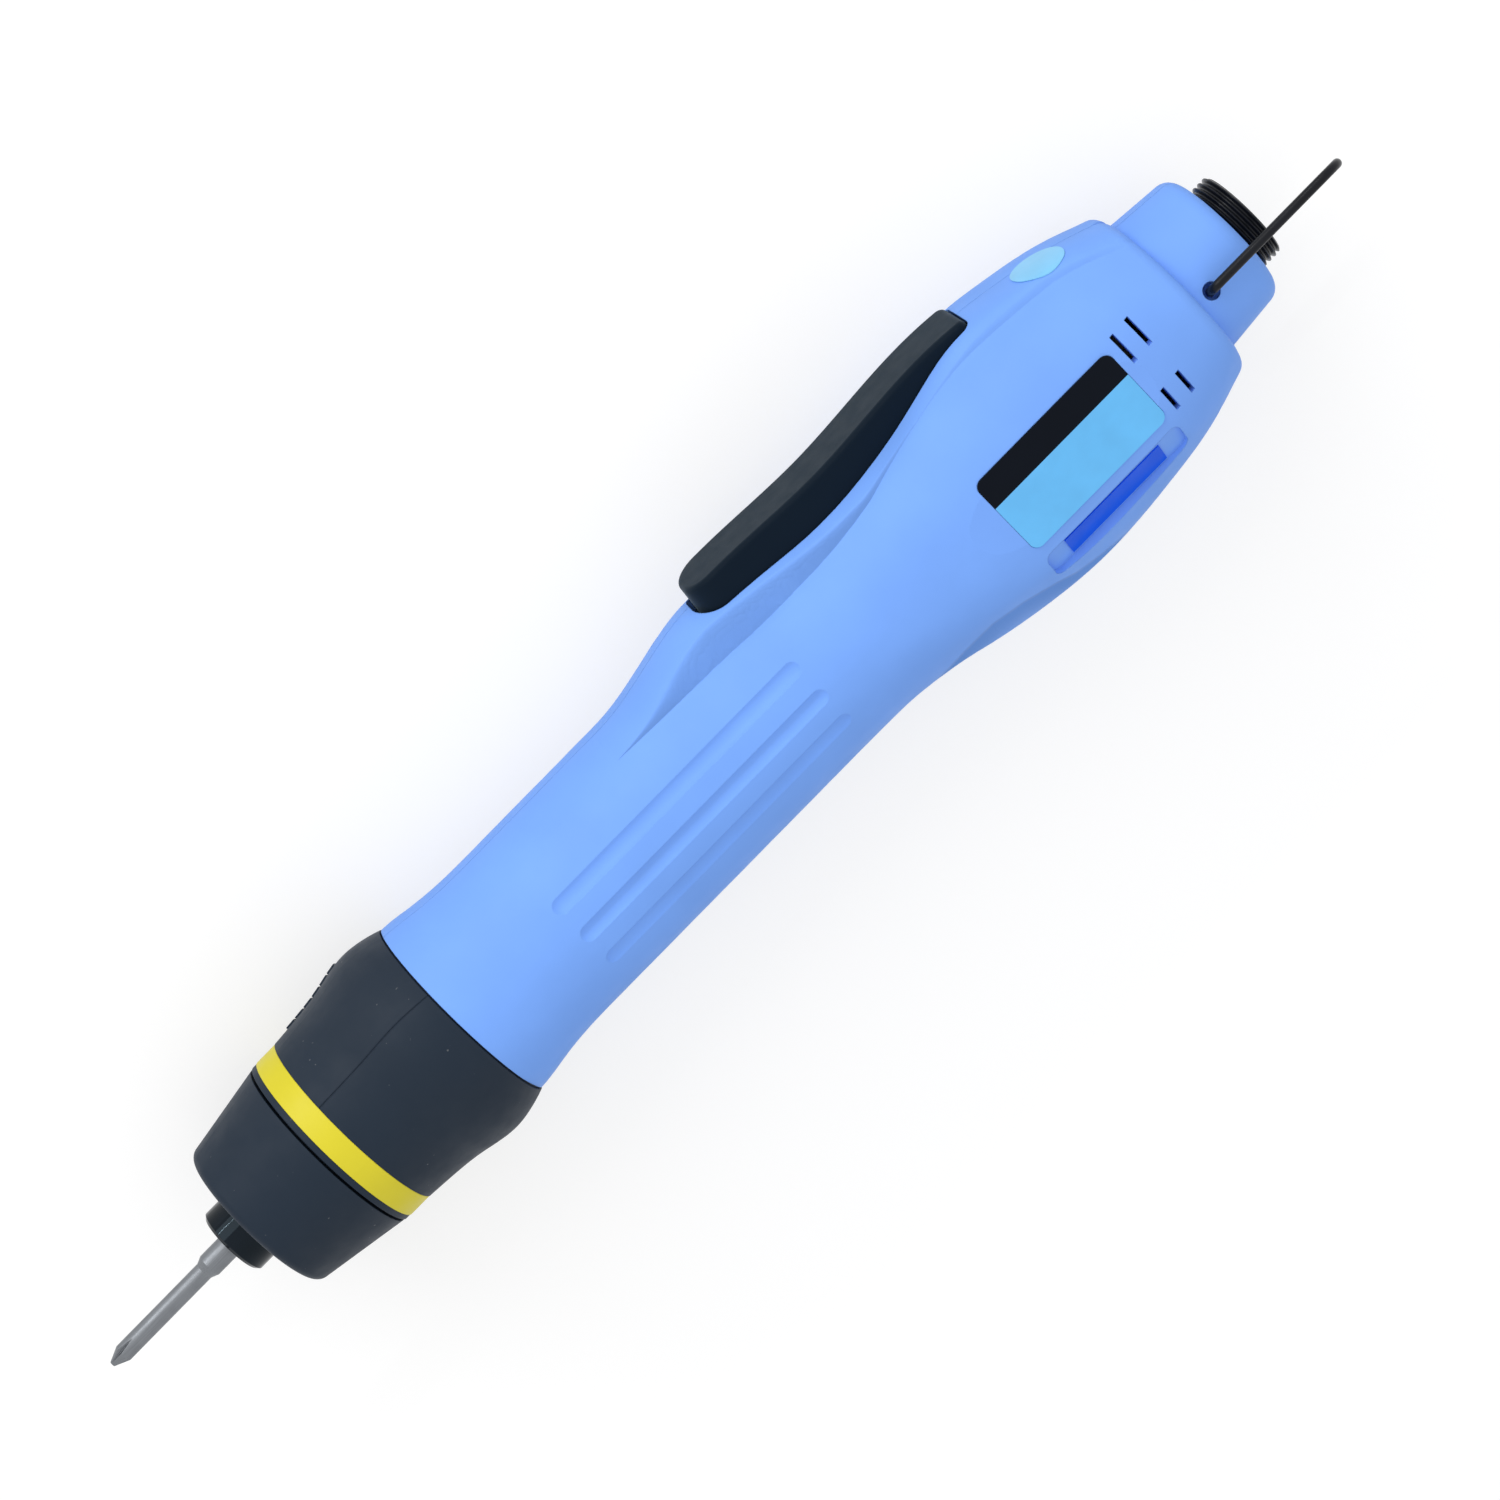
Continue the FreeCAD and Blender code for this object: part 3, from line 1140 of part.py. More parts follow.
def motor_end_bell():
    plate, spigot, bearing = motor_plate(BELL_X, BELL_X - PLATE_SPIGOT)
    body = plate.fuse(spigot).removeSplitter()
    return body.cut(tube(BELL_X - 2 * PLATE_SPIGOT, BELL_X - PLATE_SPIGOT + MOTOR_BEARING_LEN, bearing))


def motor_can():
    return tube(CAN_X + FIT_GAP, BELL_X - FIT_GAP, MOTOR_R, MOTOR_R - MOTOR_WALL)


def stator_core():
    end = STATOR_X + STATOR_LEN
    outer = MOTOR_R - MOTOR_WALL - FIT_GAP
    shoe = STATOR_BORE_R + STATOR_SHOE
    spokes = tube(STATOR_X, end, outer, STATOR_BORE_R)
    pieces = [tube(STATOR_X, end, outer, outer - STATOR_YOKE)]
    slots = []
    for k in range(STATOR_TEETH):
        spoke = block(STATOR_X, end, 0, outer, -STATOR_TOOTH / 2, STATOR_TOOTH / 2).common(spokes)
        pieces.append(around(spoke, k * 360 / STATOR_TEETH))
        gap = block(STATOR_X - CUT_OVER, end + CUT_OVER, 0, 2 * shoe, -STATOR_SLOT / 2,
                    STATOR_SLOT / 2)
        slots.append(around(gap, (k + 0.5) * 360 / STATOR_TEETH))
    pieces.append(tube(STATOR_X, end, shoe, STATOR_BORE_R).cut(slots))
    return fused(pieces)


def stator_coils():
    """One coil round each tooth."""
    outer = MOTOR_R - MOTOR_WALL - FIT_GAP - STATOR_YOKE
    shoe = STATOR_BORE_R + STATOR_SHOE
    hole = STATOR_TOOTH / 2 + FIT_GAP
    side = hole + COIL_SIDE
    reach = math.sqrt((outer - FIT_GAP) ** 2 - side ** 2)
    end = STATOR_X + STATOR_LEN
    frame = block(STATOR_X - COIL_OVER, end + COIL_OVER, shoe + FIT_GAP, reach, -side, side)
    frame = frame.cut(block(STATOR_X - FIT_GAP, end + FIT_GAP, 0, 2 * outer, -hole, hole))
    return Part.makeCompound([around(frame, k * 360 / STATOR_TEETH) for k in range(STATOR_TEETH)])


def rotor_core():
    return tube(STATOR_X, STATOR_X + STATOR_LEN, ROTOR_CORE_R, SHAFT_R + FIT_GAP)


def rotor_magnets():
    end = STATOR_X + STATOR_LEN
    ring = tube(STATOR_X, end, ROTOR_R, ROTOR_CORE_R + FIT_GAP)
    half = POLE_SLOT / 2
    gap = block(STATOR_X - CUT_OVER, end + CUT_OVER, 0, 2 * ROTOR_R, -half, half)
    return ring.cut([around(gap, (k + 0.5) * 360 / ROTOR_POLES) for k in range(ROTOR_POLES)])


def motor_shaft():
    return tube(PLANET_X, SHAFT_REAR_X, SHAFT_R)


def motor_bearings():
    front_x = CAN_X + PLATE_SPIGOT - MOTOR_BEARING_LEN
    rear_x = BELL_X - PLATE_SPIGOT
    bore = SHAFT_R + FIT_GAP / 2
    front = ball_bearing(front_x, MOTOR_BEARING_LEN, bore, MOTOR_BEARING_R, MOTOR_BALLS)
    rear = ball_bearing(rear_x, MOTOR_BEARING_LEN, bore, MOTOR_BEARING_R, MOTOR_BALLS)
    return Part.makeCompound([front[0], rear[0]]), Part.makeCompound([front[1], rear[1]])


def hall_board():
    return tube(HALL_X, HALL_X + HALL_LEN, HALL_R, HALL_BORE_R)


# Electronics

def control_board():
    return block(BOARD_X, BOARD_X + BOARD_LEN, BOARD_Y - BOARD_T, BOARD_Y, -BOARD_HALF, BOARD_HALF)


def driver_chips():
    chips = []
    for k in range(3):
        for z in (-CHIP_Z, CHIP_Z):
            x0 = CHIP_X + k * CHIP_PITCH
            chips.append(block(x0, x0 + CHIP_LEN, BOARD_Y + FIT_GAP, BOARD_Y + CHIP_T,
                               z - CHIP_WIDTH / 2, z + CHIP_WIDTH / 2))
    return Part.makeCompound(chips)


def filter_capacitor():
    return moved(tube(CAP_X, CAP_X + CAP_LEN, CAP_R), Vector(0, BOARD_Y - BOARD_T - CAP_R - FIT_GAP, 0))


def lever_sensor():
    return block(SENSOR_X - SENSOR_T / 2, SENSOR_X + SENSOR_T / 2, BOARD_Y + FIT_GAP, SENSOR_TOP,
                 -SENSOR_HALF, SENSOR_HALF)


# Power socket

def connector_shell():
    """Shell with its coupling thread drawn as rings."""
    rear = SOCKET_REAR_X
    crest = SOCKET_PITCH / 4
    flange_end = FLANGE_X + SOCKET_FLANGE_LEN
    path = [(SOCKET_X, SOCKET_SEAT_R), (SOCKET_X, SOCKET_BODY_R), (FLANGE_X, SOCKET_BODY_R),
            (FLANGE_X, SOCKET_FLANGE_R), (flange_end, SOCKET_FLANGE_R), (flange_end, SOCKET_BODY_R),
            (NECK_X, SOCKET_BODY_R), (NECK_X, SOCKET_CORE_R), (THREAD_X - crest, SOCKET_CORE_R),
            (THREAD_X, SOCKET_R)]
    for k in range(SOCKET_THREADS):
        x = THREAD_X + k * SOCKET_PITCH
        path += [(x + crest, SOCKET_R), (x + 2 * crest, SOCKET_CORE_R), (x + 3 * crest, SOCKET_CORE_R),
                 (x + SOCKET_PITCH, SOCKET_R)]
    path += [(rear, SOCKET_R), (rear, SOCKET_BORE_R), (INSERT_REAR_X, SOCKET_BORE_R),
             (INSERT_REAR_X, SOCKET_SEAT_R)]
    return turned(path)


def contact_places():
    step = 360 / (CONTACTS + 1)
    return [polar(0, CONTACT_CIRCLE_R, 90 + (k - (CONTACTS - 1) / 2) * step) for k in range(CONTACTS)]


def connector_insert():
    disc = tube(INSERT_X, INSERT_REAR_X, SOCKET_SEAT_R - FIT_GAP)
    hole = tube(INSERT_X - CUT_OVER, INSERT_REAR_X + CUT_OVER, CONTACT_R + FIT_GAP / 2)
    return disc.cut([moved(hole, place) for place in contact_places()])


def contact_sleeves():
    sleeve = tube(INSERT_X - CONTACT_TAIL, INSERT_REAR_X, CONTACT_R).cut(
        tube(INSERT_X, INSERT_REAR_X + CUT_OVER, CONTACT_BORE_R))
    return Part.makeCompound([moved(sleeve, place) for place in contact_places()])


# Hanging bail

def hanging_bail():
    """Bent wire with a peg in each side of the neck."""
    corners = []
    for sign in (1, -1):
        peg = BAIL_MID + BAIL_DIR * (sign * BAIL_PEG_END)
        knee = BAIL_MID + BAIL_DIR * (sign * BAIL_LEG)
        crown = knee + X_AXIS * (BAIL_LEN - BAIL_WIRE_R)
        corners = corners + [peg, knee, crown] if sign > 0 else corners + [crown, knee, peg]
    radii = [BAIL_BEND, BAIL_CROWN_BEND, BAIL_CROWN_BEND, BAIL_BEND]
    edges = []
    last = corners[0]
    for before, corner, after, bend in zip(corners, corners[1:], corners[2:], radii):
        into = (before - corner).normalize()
        out = (after - corner).normalize()
        start, end = corner + into * bend, corner + out * bend
        middle = corner + (into + out) * (bend * (1 - math.sqrt(0.5)))
        edges += [line(last, start), Part.Arc(start, middle, end).toShape()]
        last = end
    edges.append(line(last, corners[-1]))
    ring = Part.Wire(Part.makeCircle(BAIL_WIRE_R, corners[0], BAIL_DIR))
    return Part.Wire(edges).makePipeShell([ring], True, False)


# Plates

def rating_plates():
    floor = FLAT_HALF - LABEL_SINK
    plate = label_outline(LABEL_X, LABEL_LEN, -LABEL_HALF, LABEL_HALF, floor, LABEL_T, LABEL_ROUND)
    split = LABEL_HALF - LABEL_BAND
    band = block(LABEL_X, LABEL_X + LABEL_LEN, split, LABEL_HALF, floor, FLAT_HALF)
    return plate.cut(band), plate.common(band)


def serial_plate():
    x0 = SERIAL_X + (SERIAL_LEN - SERIAL_PLATE_LEN) / 2
    plate = block(x0, x0 + SERIAL_PLATE_LEN, -SERIAL_PLATE_HALF, SERIAL_PLATE_HALF, FIT_GAP, SERIAL_T)
    return serial_frame(plate)


def round_sticker():
    """Thin disc that follows the spine's surface."""
    column = Part.makeCylinder(STICKER_R, FLAT_HALF, Vector(STICKER_X, WALL, STICKER_Z), Y_AXIS)
    low = half_body(-STICKER_GLUE, 0, BODY_LEN)
    high = half_body(-STICKER_T, 0, BODY_LEN)
    skins = []
    for body in (high, low):
        raised = moved(body, Vector(0, 0, -PART_GAP))
        skins.append(raised.fuse(raised.mirror(ORIGIN, Z_AXIS)))
    return column.common(skins[0]).cut(skins[1])


def build():
    shell = housing_shell()
    bearing = ball_bearing(NOSE_X + BEARING_SETBACK, BEARING_LEN, SPINDLE_R + FIT_GAP / 2, BEARING_R,
                           BEARING_BALLS)
    motor_outers, motor_inners = motor_bearings()
    plate, band = rating_plates()
    shapes = {
        "right_housing": right_housing(shell),
        "left_housing": left_housing(shell),
        "housing_screws": housing_screws(),
        "clutch_cover": clutch_cover(),
        "marker_ring": marker_ring(),
        "torque_ring": torque_ring(),
        "gear_case": gear_case(),
        "ring_gear": ring_gear(),
        "planet_pins": planet_pins(),
        "sun_pinion": sun_pinion(),
        "clutch_pins": clutch_pins(),
        "clutch_washer": clutch_washer(),
        "clutch_spring": clutch_spring(),
        "spring_seat": spring_seat(),
        "output_spindle": output_spindle(),
        "spindle_bush": spindle_bush(),
        "spindle_bearing_outer": bearing[0],
        "spindle_bearing_inner": bearing[1],
        "screw_bit": screw_bit(),
        "bit_sleeve": bit_sleeve(),
        "sleeve_spring": sleeve_spring(),
        "lock_balls": lock_balls(),
        "sleeve_clip": sleeve_clip(),
        "motor_front_plate": motor_front_plate(),
        "motor_can": motor_can(),
        "motor_end_bell": motor_end_bell(),
        "stator_core": stator_core(),
        "stator_coils": stator_coils(),
        "rotor_core": rotor_core(),
        "rotor_magnets": rotor_magnets(),
        "motor_shaft": motor_shaft(),
        "motor_bearing_outers": motor_outers,
        "motor_bearing_inners": motor_inners,
        "hall_board": hall_board(),
        "control_board": control_board(),
        "driver_chips": driver_chips(),
        "filter_capacitor": filter_capacitor(),
        "lever_sensor": lever_sensor(),
        "start_lever": start_lever(),
        "lever_pin": lever_pin(),
        "lever_spring": lever_spring(),
        "lever_magnet": lever_magnet(),
        "connector_shell": connector_shell(),
        "connector_insert": connector_insert(),
        "contact_sleeves": contact_sleeves(),
        "hanging_bail": hanging_bail(),
        "rating_plate": plate,
        "rating_band": band,
        "serial_plate": serial_plate(),
        "round_sticker": round_sticker(),
    }
    for k in range(PLANETS):
        shapes["planet_gear_%d" % (k + 1)] = planet_gear(k)
    return shapes


SHAPES = build()
BOX = Part.makeCompound(list(SHAPES.values())).optimalBoundingBox()
SHIFT = Vector(-(BOX.XMin + BOX.XMax) / 2, -(BOX.YMin + BOX.YMax) / 2, -BOX.ZMin)
os.makedirs("parts", exist_ok=True)
for name, shape in SHAPES.items():
    moved(shape, SHIFT).exportStep("parts/%s.step" % name)
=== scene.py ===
import json
import math

import bmesh
import bpy
from mathutils import Matrix, Vector


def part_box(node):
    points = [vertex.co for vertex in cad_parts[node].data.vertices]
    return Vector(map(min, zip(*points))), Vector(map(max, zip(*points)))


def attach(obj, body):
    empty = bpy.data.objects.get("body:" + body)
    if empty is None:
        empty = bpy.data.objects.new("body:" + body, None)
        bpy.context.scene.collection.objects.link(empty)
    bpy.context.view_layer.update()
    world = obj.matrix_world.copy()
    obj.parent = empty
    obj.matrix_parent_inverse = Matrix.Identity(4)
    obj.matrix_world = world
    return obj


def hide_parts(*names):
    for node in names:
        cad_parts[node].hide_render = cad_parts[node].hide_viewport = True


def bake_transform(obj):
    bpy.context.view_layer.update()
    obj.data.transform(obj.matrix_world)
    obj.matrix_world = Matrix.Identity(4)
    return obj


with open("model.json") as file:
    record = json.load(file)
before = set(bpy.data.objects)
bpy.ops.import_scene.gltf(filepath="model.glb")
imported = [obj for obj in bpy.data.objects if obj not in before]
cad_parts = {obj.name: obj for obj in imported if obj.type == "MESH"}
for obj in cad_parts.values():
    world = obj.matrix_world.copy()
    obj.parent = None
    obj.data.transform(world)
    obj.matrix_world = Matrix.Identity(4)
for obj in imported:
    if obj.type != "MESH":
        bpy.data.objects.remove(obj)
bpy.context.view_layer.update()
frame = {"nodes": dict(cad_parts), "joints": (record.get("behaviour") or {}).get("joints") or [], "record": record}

# Looks of an in-line electric screwdriver that lies on its left side.
# Metres, in the frame of the solids: +X from the bit to the power socket, +Y to the start lever, +Z up.
MM = 0.001
X_AXIS = Vector((1, 0, 0))

# A point on the tool axis, in the plane of the housing's front face
AXIS_POINT = Vector(next(j["pos_m"] for j in frame["joints"] if j["name"] == "rotor_spin"))

# View of the photograph
VIEW_TURN = math.radians(21.3)      # about the tool axis, from +Z towards +Y
VIEW_PITCH = math.radians(1.5)      # the bit end leans away
VIEW_ROLL = math.radians(45.5)      # of the tool axis in the picture
VIEW_DISTANCE = 0.638
VIEW_LENS = 100.8
VIEW_ALONG = 0.0588                 # picture centre, from the housing's front face
VIEW_ACROSS = -0.0037               # picture centre, from the tool axis
CLIP_START = 0.01

# Studio
FLOOR_SIZE = 6.0
FLOOR_COLOUR = (0.45, 0.45, 0.45)
FLOOR_ROUGHNESS = 0.9
FLOOR_SPECULAR = 0.1
FLOOR_LIFT = 0.61                   # glow of the floor where it is seen
WORLD_LEVEL = 0.80                  # light on the object; where the world is seen, it is white
KEY_POWER = 2.9
KEY_SIZE = 0.7
KEY_DISTANCE = 1.0
KEY_WAY = (-0.15, 0.62, 0.75)       # right, up and towards the camera
STRIP_LENGTH = 0.9
STRIP_DISTANCE = 0.8
STRIPS = ((47, 0.006, 1.2), (76, 0.006, 1.0))     # degrees of lean towards the lever side, width, power

# Colours
WHITE = (1, 1, 1)
BLUE = (0.197, 0.405, 0.965)
BLACK_PLASTIC = (0.010, 0.020, 0.036)
LEVER_BLACK = (0.003, 0.009, 0.019)
SPECK = (0.16, 0.17, 0.18)
YELLOW = (0.70, 0.61, 0.023)
STEEL = (0.24, 0.25, 0.27)
BIT_STEEL = (0.215, 0.228, 0.246)
SPRING_STEEL = (0.32, 0.32, 0.34)
MOTOR_STEEL = (0.33, 0.33, 0.35)
CASE_ALLOY = (0.55, 0.56, 0.58)
BRONZE = (0.55, 0.34, 0.13)
BLACK_OXIDE = (0.004, 0.005, 0.008)
RUBBED_OXIDE = (0.05, 0.05, 0.055)
MAGNET = (0.06, 0.06, 0.065)
CHIP = (0.012, 0.012, 0.014)
CAPACITOR = (0.03, 0.04, 0.12)
SOLDER_MASK = (0.012, 0.10, 0.035)
TRACK = (0.03, 0.19, 0.07)
WIRE_GAP = (0.22, 0.07, 0.02)
WIRE = (0.70, 0.31, 0.12)
LABEL_CYAN = (0.125, 0.49, 0.91)
LABEL_BLACK = (0.002, 0.004, 0.009)
STICKER_CYAN = (0.22, 0.59, 0.92)
ROYAL = (0.008, 0.105, 0.84)
COOL = (0.62, 0.85, 1.0)            # tint of the sheen on black pieces

# Ranges that a look follows, and tints as shares of a colour: dark, light
UNIT = (0, 1)
NOISE_SPAN = (0.3, 0.7)             # most of a noise
EDGE_SPAN = (0.80, 0.99)            # cosine between the rounded and the true normal
EDGE_SAMPLES = 6
MIX_FACTOR, MIX_FIRST, MIX_SECOND, MIX_RESULT = 0, 6, 7, 2     # colour sockets of the mix node

# Moulded plastic
MOULD_EDGE = 0.25 * MM
MOULD_CLOUD = 14 * MM
MOULD_TINTS = (0.965, 1.035)
# Edges lighter in patches of this size, by these shares: partly wear, partly a painted highlight
MOULD_WEAR_AND_HIGHLIGHT_PATCH = 2.5 * MM
MOULD_WEAR_AND_HIGHLIGHT_SHARES = (0.1, 0.7)
MOULD_PATCH = 3 * MM
MOULD_SPREAD = 0.05                 # of the roughness
GRAIN_SIZE = 0.12 * MM
GRAIN_DEPTH = 0.006 * MM
SPECK_SIZE = 0.9 * MM
SPECK_SPAN = (0.77, 0.80)
SPECK_SHARE = 0.5
SHEEN_ROUGHNESS = 0.5

# Turned or drawn metal
TURNED_EDGE = 0.08 * MM
TURNED_WORN = 1.35
MARK_SIZE = 0.09 * MM
MARK_ROUND = (1, 40, 40)            # stretch along the axes
MARK_ALONG = (60, 1, 1)
MARK_TINTS = (0.86, 1.1)
MARK_DEPTH = 0.002 * MM
MARK_STRENGTH = 0.6
STAIN_SIZE = 3 * MM
STAIN_SPAN = (0.45, 0.75)
STAIN_SHARE = 0.25
STAIN_TINT = 0.7
STAIN_ROUGHNESS = (-0.06, 0.08)

# Black oxide
OXIDE_EDGE = 0.12 * MM
OXIDE_SPECULAR = 0.2
OXIDE_CLOUD = 4 * MM
OXIDE_TINTS = (0.8, 1.5)
OXIDE_RUB = 1.2 * MM
OXIDE_RUB_SHARES = (0, 0.8)
OXIDE_GRAIN = 0.1 * MM
OXIDE_DEPTH = 0.003 * MM
OXIDE_PATCH = 1.5 * MM
OXIDE_SPREAD = 1.25                 # factor of the roughness
POLISHED_DEPTH = 0.0001 * MM
POLISHED_ROUGHNESS = 0.02

# Printed film
FILM_CLOUD = 5 * MM
FILM_TINTS = (0.96, 1.05)
FILM_WAVE = 0.5 * MM
FILM_DEPTH = 0.004 * MM
FILM_PATCH = 2 * MM
FILM_ROUGHNESS = (0.30, 0.39)

# Control board and coils
BOARD_SPECULAR = 0.6
BOARD_ROUGHNESS = (0.3, 0.42)
TRACK_SIZE = 3 * MM
TRACK_SHARE = 0.06
TRACK_DEPTH = 0.02 * MM
WIRE_SIZE = 0.5 * MM
WIRE_DEPTH = 0.1 * MM
WIRE_ROUGHNESS = (0.26, 0.4)
WORKS_PATCH = 1 * MM

# Creases of the housing in millimetres, by the distance from its front face
SPINE_FOOT = ((40, 8.6), (45, 8.6), (68, 9.8), (98, 11.4), (140, 8.8), (153, 9.0))       # from the seam
SPINE_WALL = ((44, 0.0), (53.5, 1.3), (61, 2.2), (67, 2.8), (81, 2.3), (94, 1.9), (99, 1.4),
              (104, 1.1), (111, 0.3), (118, 0.6), (125, 1.0), (140, 1.3), (150, 1.0),
              (153, 0.5))                                                                # width
SPINE_SLOPE = ((44, 1.5), (98, 1.5), (116, 0.8), (146, 0.7), (152, 0.3), (153, 0.0))     # rise
CHIN_EDGE = ((80, -18.0), (87.4, -14.0), (92, -12.8), (97.8, -11.9), (103.5, -13.0), (109, -15.0),
             (112.5, -16.6), (120, -18.3), (129, -20.0), (135, -21.5))                   # from the tool axis
CHIN_WIDE = 6.0
CHIN_SLOPE = 0.8
CHIN_MATT = (0, 0.6)                # the gloss fades out between these depths
LEAST_WALL = 0.01
BANK_POWER = 4.0

# Springs, copied from their solids:
# node, piece, body of the fixed end, body of the moving end, way from end to end
SPRINGS = (("sleeve_spring", "sleeve_coil", "spindle", "sleeve", (-1, 0, 0)),
           ("clutch_spring", "clutch_coil", "housing", "seat", (-1, 0, 0)),
           ("lever_spring", "lever_coil", "housing", "lever", (0, 1, 0)))

# Black card at the end of the control board: painted shade, a dark sheet behind the vents that stands in for the
# shade inside the housing
CARD_LEN = 9.0 * MM
CARD_LAP = 1.0 * MM
CARD_HALF = 9.6 * MM
CARD_THICK = 0.3 * MM

# Shell of the power socket
SHELL_STEPS = 120                   # round the axis
SHELL_OUT = 4.0 * MM                # out of the neck
SHELL_BODY_R = 7.7 * MM
SHELL_SEAT_R = 6.4 * MM
SHELL_BORE_R = 6.9 * MM
SHELL_DEPTH = 6.0 * MM
SHELL_CHAMFER = 0.3 * MM
SHELL_SHARP = math.radians(40)      # edges over this angle stay sharp
FLANGE_R = 9.6 * MM
FLANGE_LEN = 2.5 * MM
FLANGE_BACK = 4.2 * MM
THREAD_R = 8.0 * MM
THREAD_CORE_R = 7.45 * MM
THREAD_PITCH = 1.0 * MM
THREAD_STEPS = 20                   # along one pitch
THREAD_ROOT = 0.22                  # flat share of half a pitch
THREAD_FLANK = 0.62                 # sloping share of half a pitch


# Materials

class Tree:
    """The nodes of a material or of the world."""

    def __init__(self, owner):
        owner.use_nodes = True
        self.tree = owner.node_tree

    def set(self, node, inputs):
        """Link or set inputs, by number or by name with underscores for spaces."""
        for key, value in inputs.items():
            socket = node.inputs[key.replace("_", " ") if isinstance(key, str) else key]
            if isinstance(value, bpy.types.NodeSocket):
                self.tree.links.new(value, socket)
            elif socket.type == "RGBA":
                socket.default_value = (*value, 1)
            else:
                socket.default_value = value

    def add(self, kind, settings=None, inputs=None):
        node = self.tree.nodes.new(kind)
        for key, value in (settings or {}).items():
            setattr(node, key, value)
        self.set(node, inputs or {})
        return node

    def number(self, operation, *values):
        return self.add("ShaderNodeMath", {"operation": operation}, dict(enumerate(values))).outputs[0]

    def between(self, factor, low, high, span=NOISE_SPAN):
        """A number from low to high that follows the factor over the span."""
        inputs = {"Value": factor, "From_Min": span[0], "From_Max": span[1], "To_Min": low, "To_Max": high}
        return self.add("ShaderNodeMapRange", inputs=inputs).outputs[0]

    def background_rays(self):
        """1 for rays that show the background: from the camera, mirrored or through glass."""
        path = self.add("ShaderNodeLightPath").outputs
        mirrored = self.number("MAXIMUM", path["Is Camera Ray"], path["Is Glossy Ray"])
        return self.number("MAXIMUM", mirrored, path["Is Transmission Ray"])


class Look(Tree):
    """A material's nodes with its shader."""

    def __init__(self, name, **inputs):
        self.material = bpy.data.materials.new(name)
        super().__init__(self.material)
        self.shader = self.tree.nodes["Principled BSDF"]
        self.set(self.shader, inputs)
        self.place = self.add("ShaderNodeTexCoord").outputs["Object"]

    def scaled(self, size, stretch=(1, 1, 1)):
        """Places in units of size, stretched along the axes."""
        scale = tuple(1 / (size * s) for s in stretch)
        return self.add("ShaderNodeMapping", inputs={"Vector": self.place, "Scale": scale}).outputs[0]

    def noise(self, size, detail=3.0, stretch=(1, 1, 1)):
        """Noise whose features are about size long, or stretched along the axes."""
        inputs = {"Vector": self.scaled(size, stretch), "Scale": 1.0, "Detail": detail}
        return self.add("ShaderNodeTexNoise", inputs=inputs).outputs["Fac"]

    def line(self, value, points):
        """A number that follows a line through points (value, number)."""
        first, last = points[0][0], points[-1][0]
        low, high = min(p[1] for p in points), max(p[1] for p in points)
        node = self.add("ShaderNodeFloatCurve", inputs={"Value": self.between(value, 0, 1, (first, last))})
        places = [((p - first) / (last - first), (number - low) / (high - low)) for p, number in points]
        curve = node.mapping.curves[0]
        curve.points[0].location, curve.points[1].location = places[0], places[-1]
        for place in places[1:-1]:
            curve.points.new(*place)
        for point in curve.points:
            point.handle_type = "VECTOR"
        node.mapping.update()
        return self.between(node.outputs[0], low, high, UNIT)

    def mix(self, factor, first, second):
        """A colour between two that follows the factor."""
        inputs = {MIX_FACTOR: factor, MIX_FIRST: first, MIX_SECOND: second}
        return self.add("ShaderNodeMix", {"data_type": "RGBA"}, inputs).outputs[MIX_RESULT]

    def shades(self, factor, colour, tints):
        """The colour between two tints that follow the factor."""
        dark, light = (tinted(colour, tint) for tint in tints)
        return self.mix(self.between(factor, 0, 1), dark, light)

    def wear_and_highlight_patches(self, mask, size, shares):
        """The mask in patches of a size."""
        return self.number("MULTIPLY", mask, self.between(self.noise(size), *shares))

    def edges(self, radius):
        """(rounded normal, mask of the edges) of a surface with edges rounded by radius."""
        soft = self.add("ShaderNodeBevel", {"samples": EDGE_SAMPLES}, {"Radius": radius}).outputs[0]
        true = self.add("ShaderNodeNewGeometry").outputs["Normal"]
        same = self.add("ShaderNodeVectorMath", {"operation": "DOT_PRODUCT"}, {0: soft, 1: true})
        return soft, self.between(same.outputs["Value"], 1, 0, EDGE_SPAN)

    def bump(self, height, depth, normal=None, strength=1.0):
        """The shader's normal, bumped on top of a normal."""
        inputs = {"Height": height, "Distance": depth, "Strength": strength}
        if normal is not None:
            inputs["Normal"] = normal
        bumped = self.add("ShaderNodeBump", inputs=inputs).outputs[0]
        self.set(self.shader, {"Normal": bumped})
        return bumped

    def finish(self, colour, patches, least, most):
        """The material with its colour and a roughness that follows the patches."""
        self.set(self.shader, {"Base_Color": colour, "Roughness": self.between(patches, least, most)})
        return self.material


def tinted(colour, factor):
    """The colour, darker or lighter by the factor."""
    return tuple(min(1.0, c * factor) for c in colour)


def crease(n, depth, width):
    """(height, slope) of a bank that begins with a sharp edge at depth 0 and levels out at its width."""
    share = n.number("MINIMUM", n.number("MAXIMUM", n.number("DIVIDE", depth, width), 0.0), 1.0)
    fall = n.number("DIVIDE", n.number("POWER", share, BANK_POWER), BANK_POWER)
    height = n.number("MULTIPLY", n.number("SUBTRACT", share, fall), width)
    return height, n.number("SUBTRACT", 1.0, n.number("POWER", share, BANK_POWER - 1))


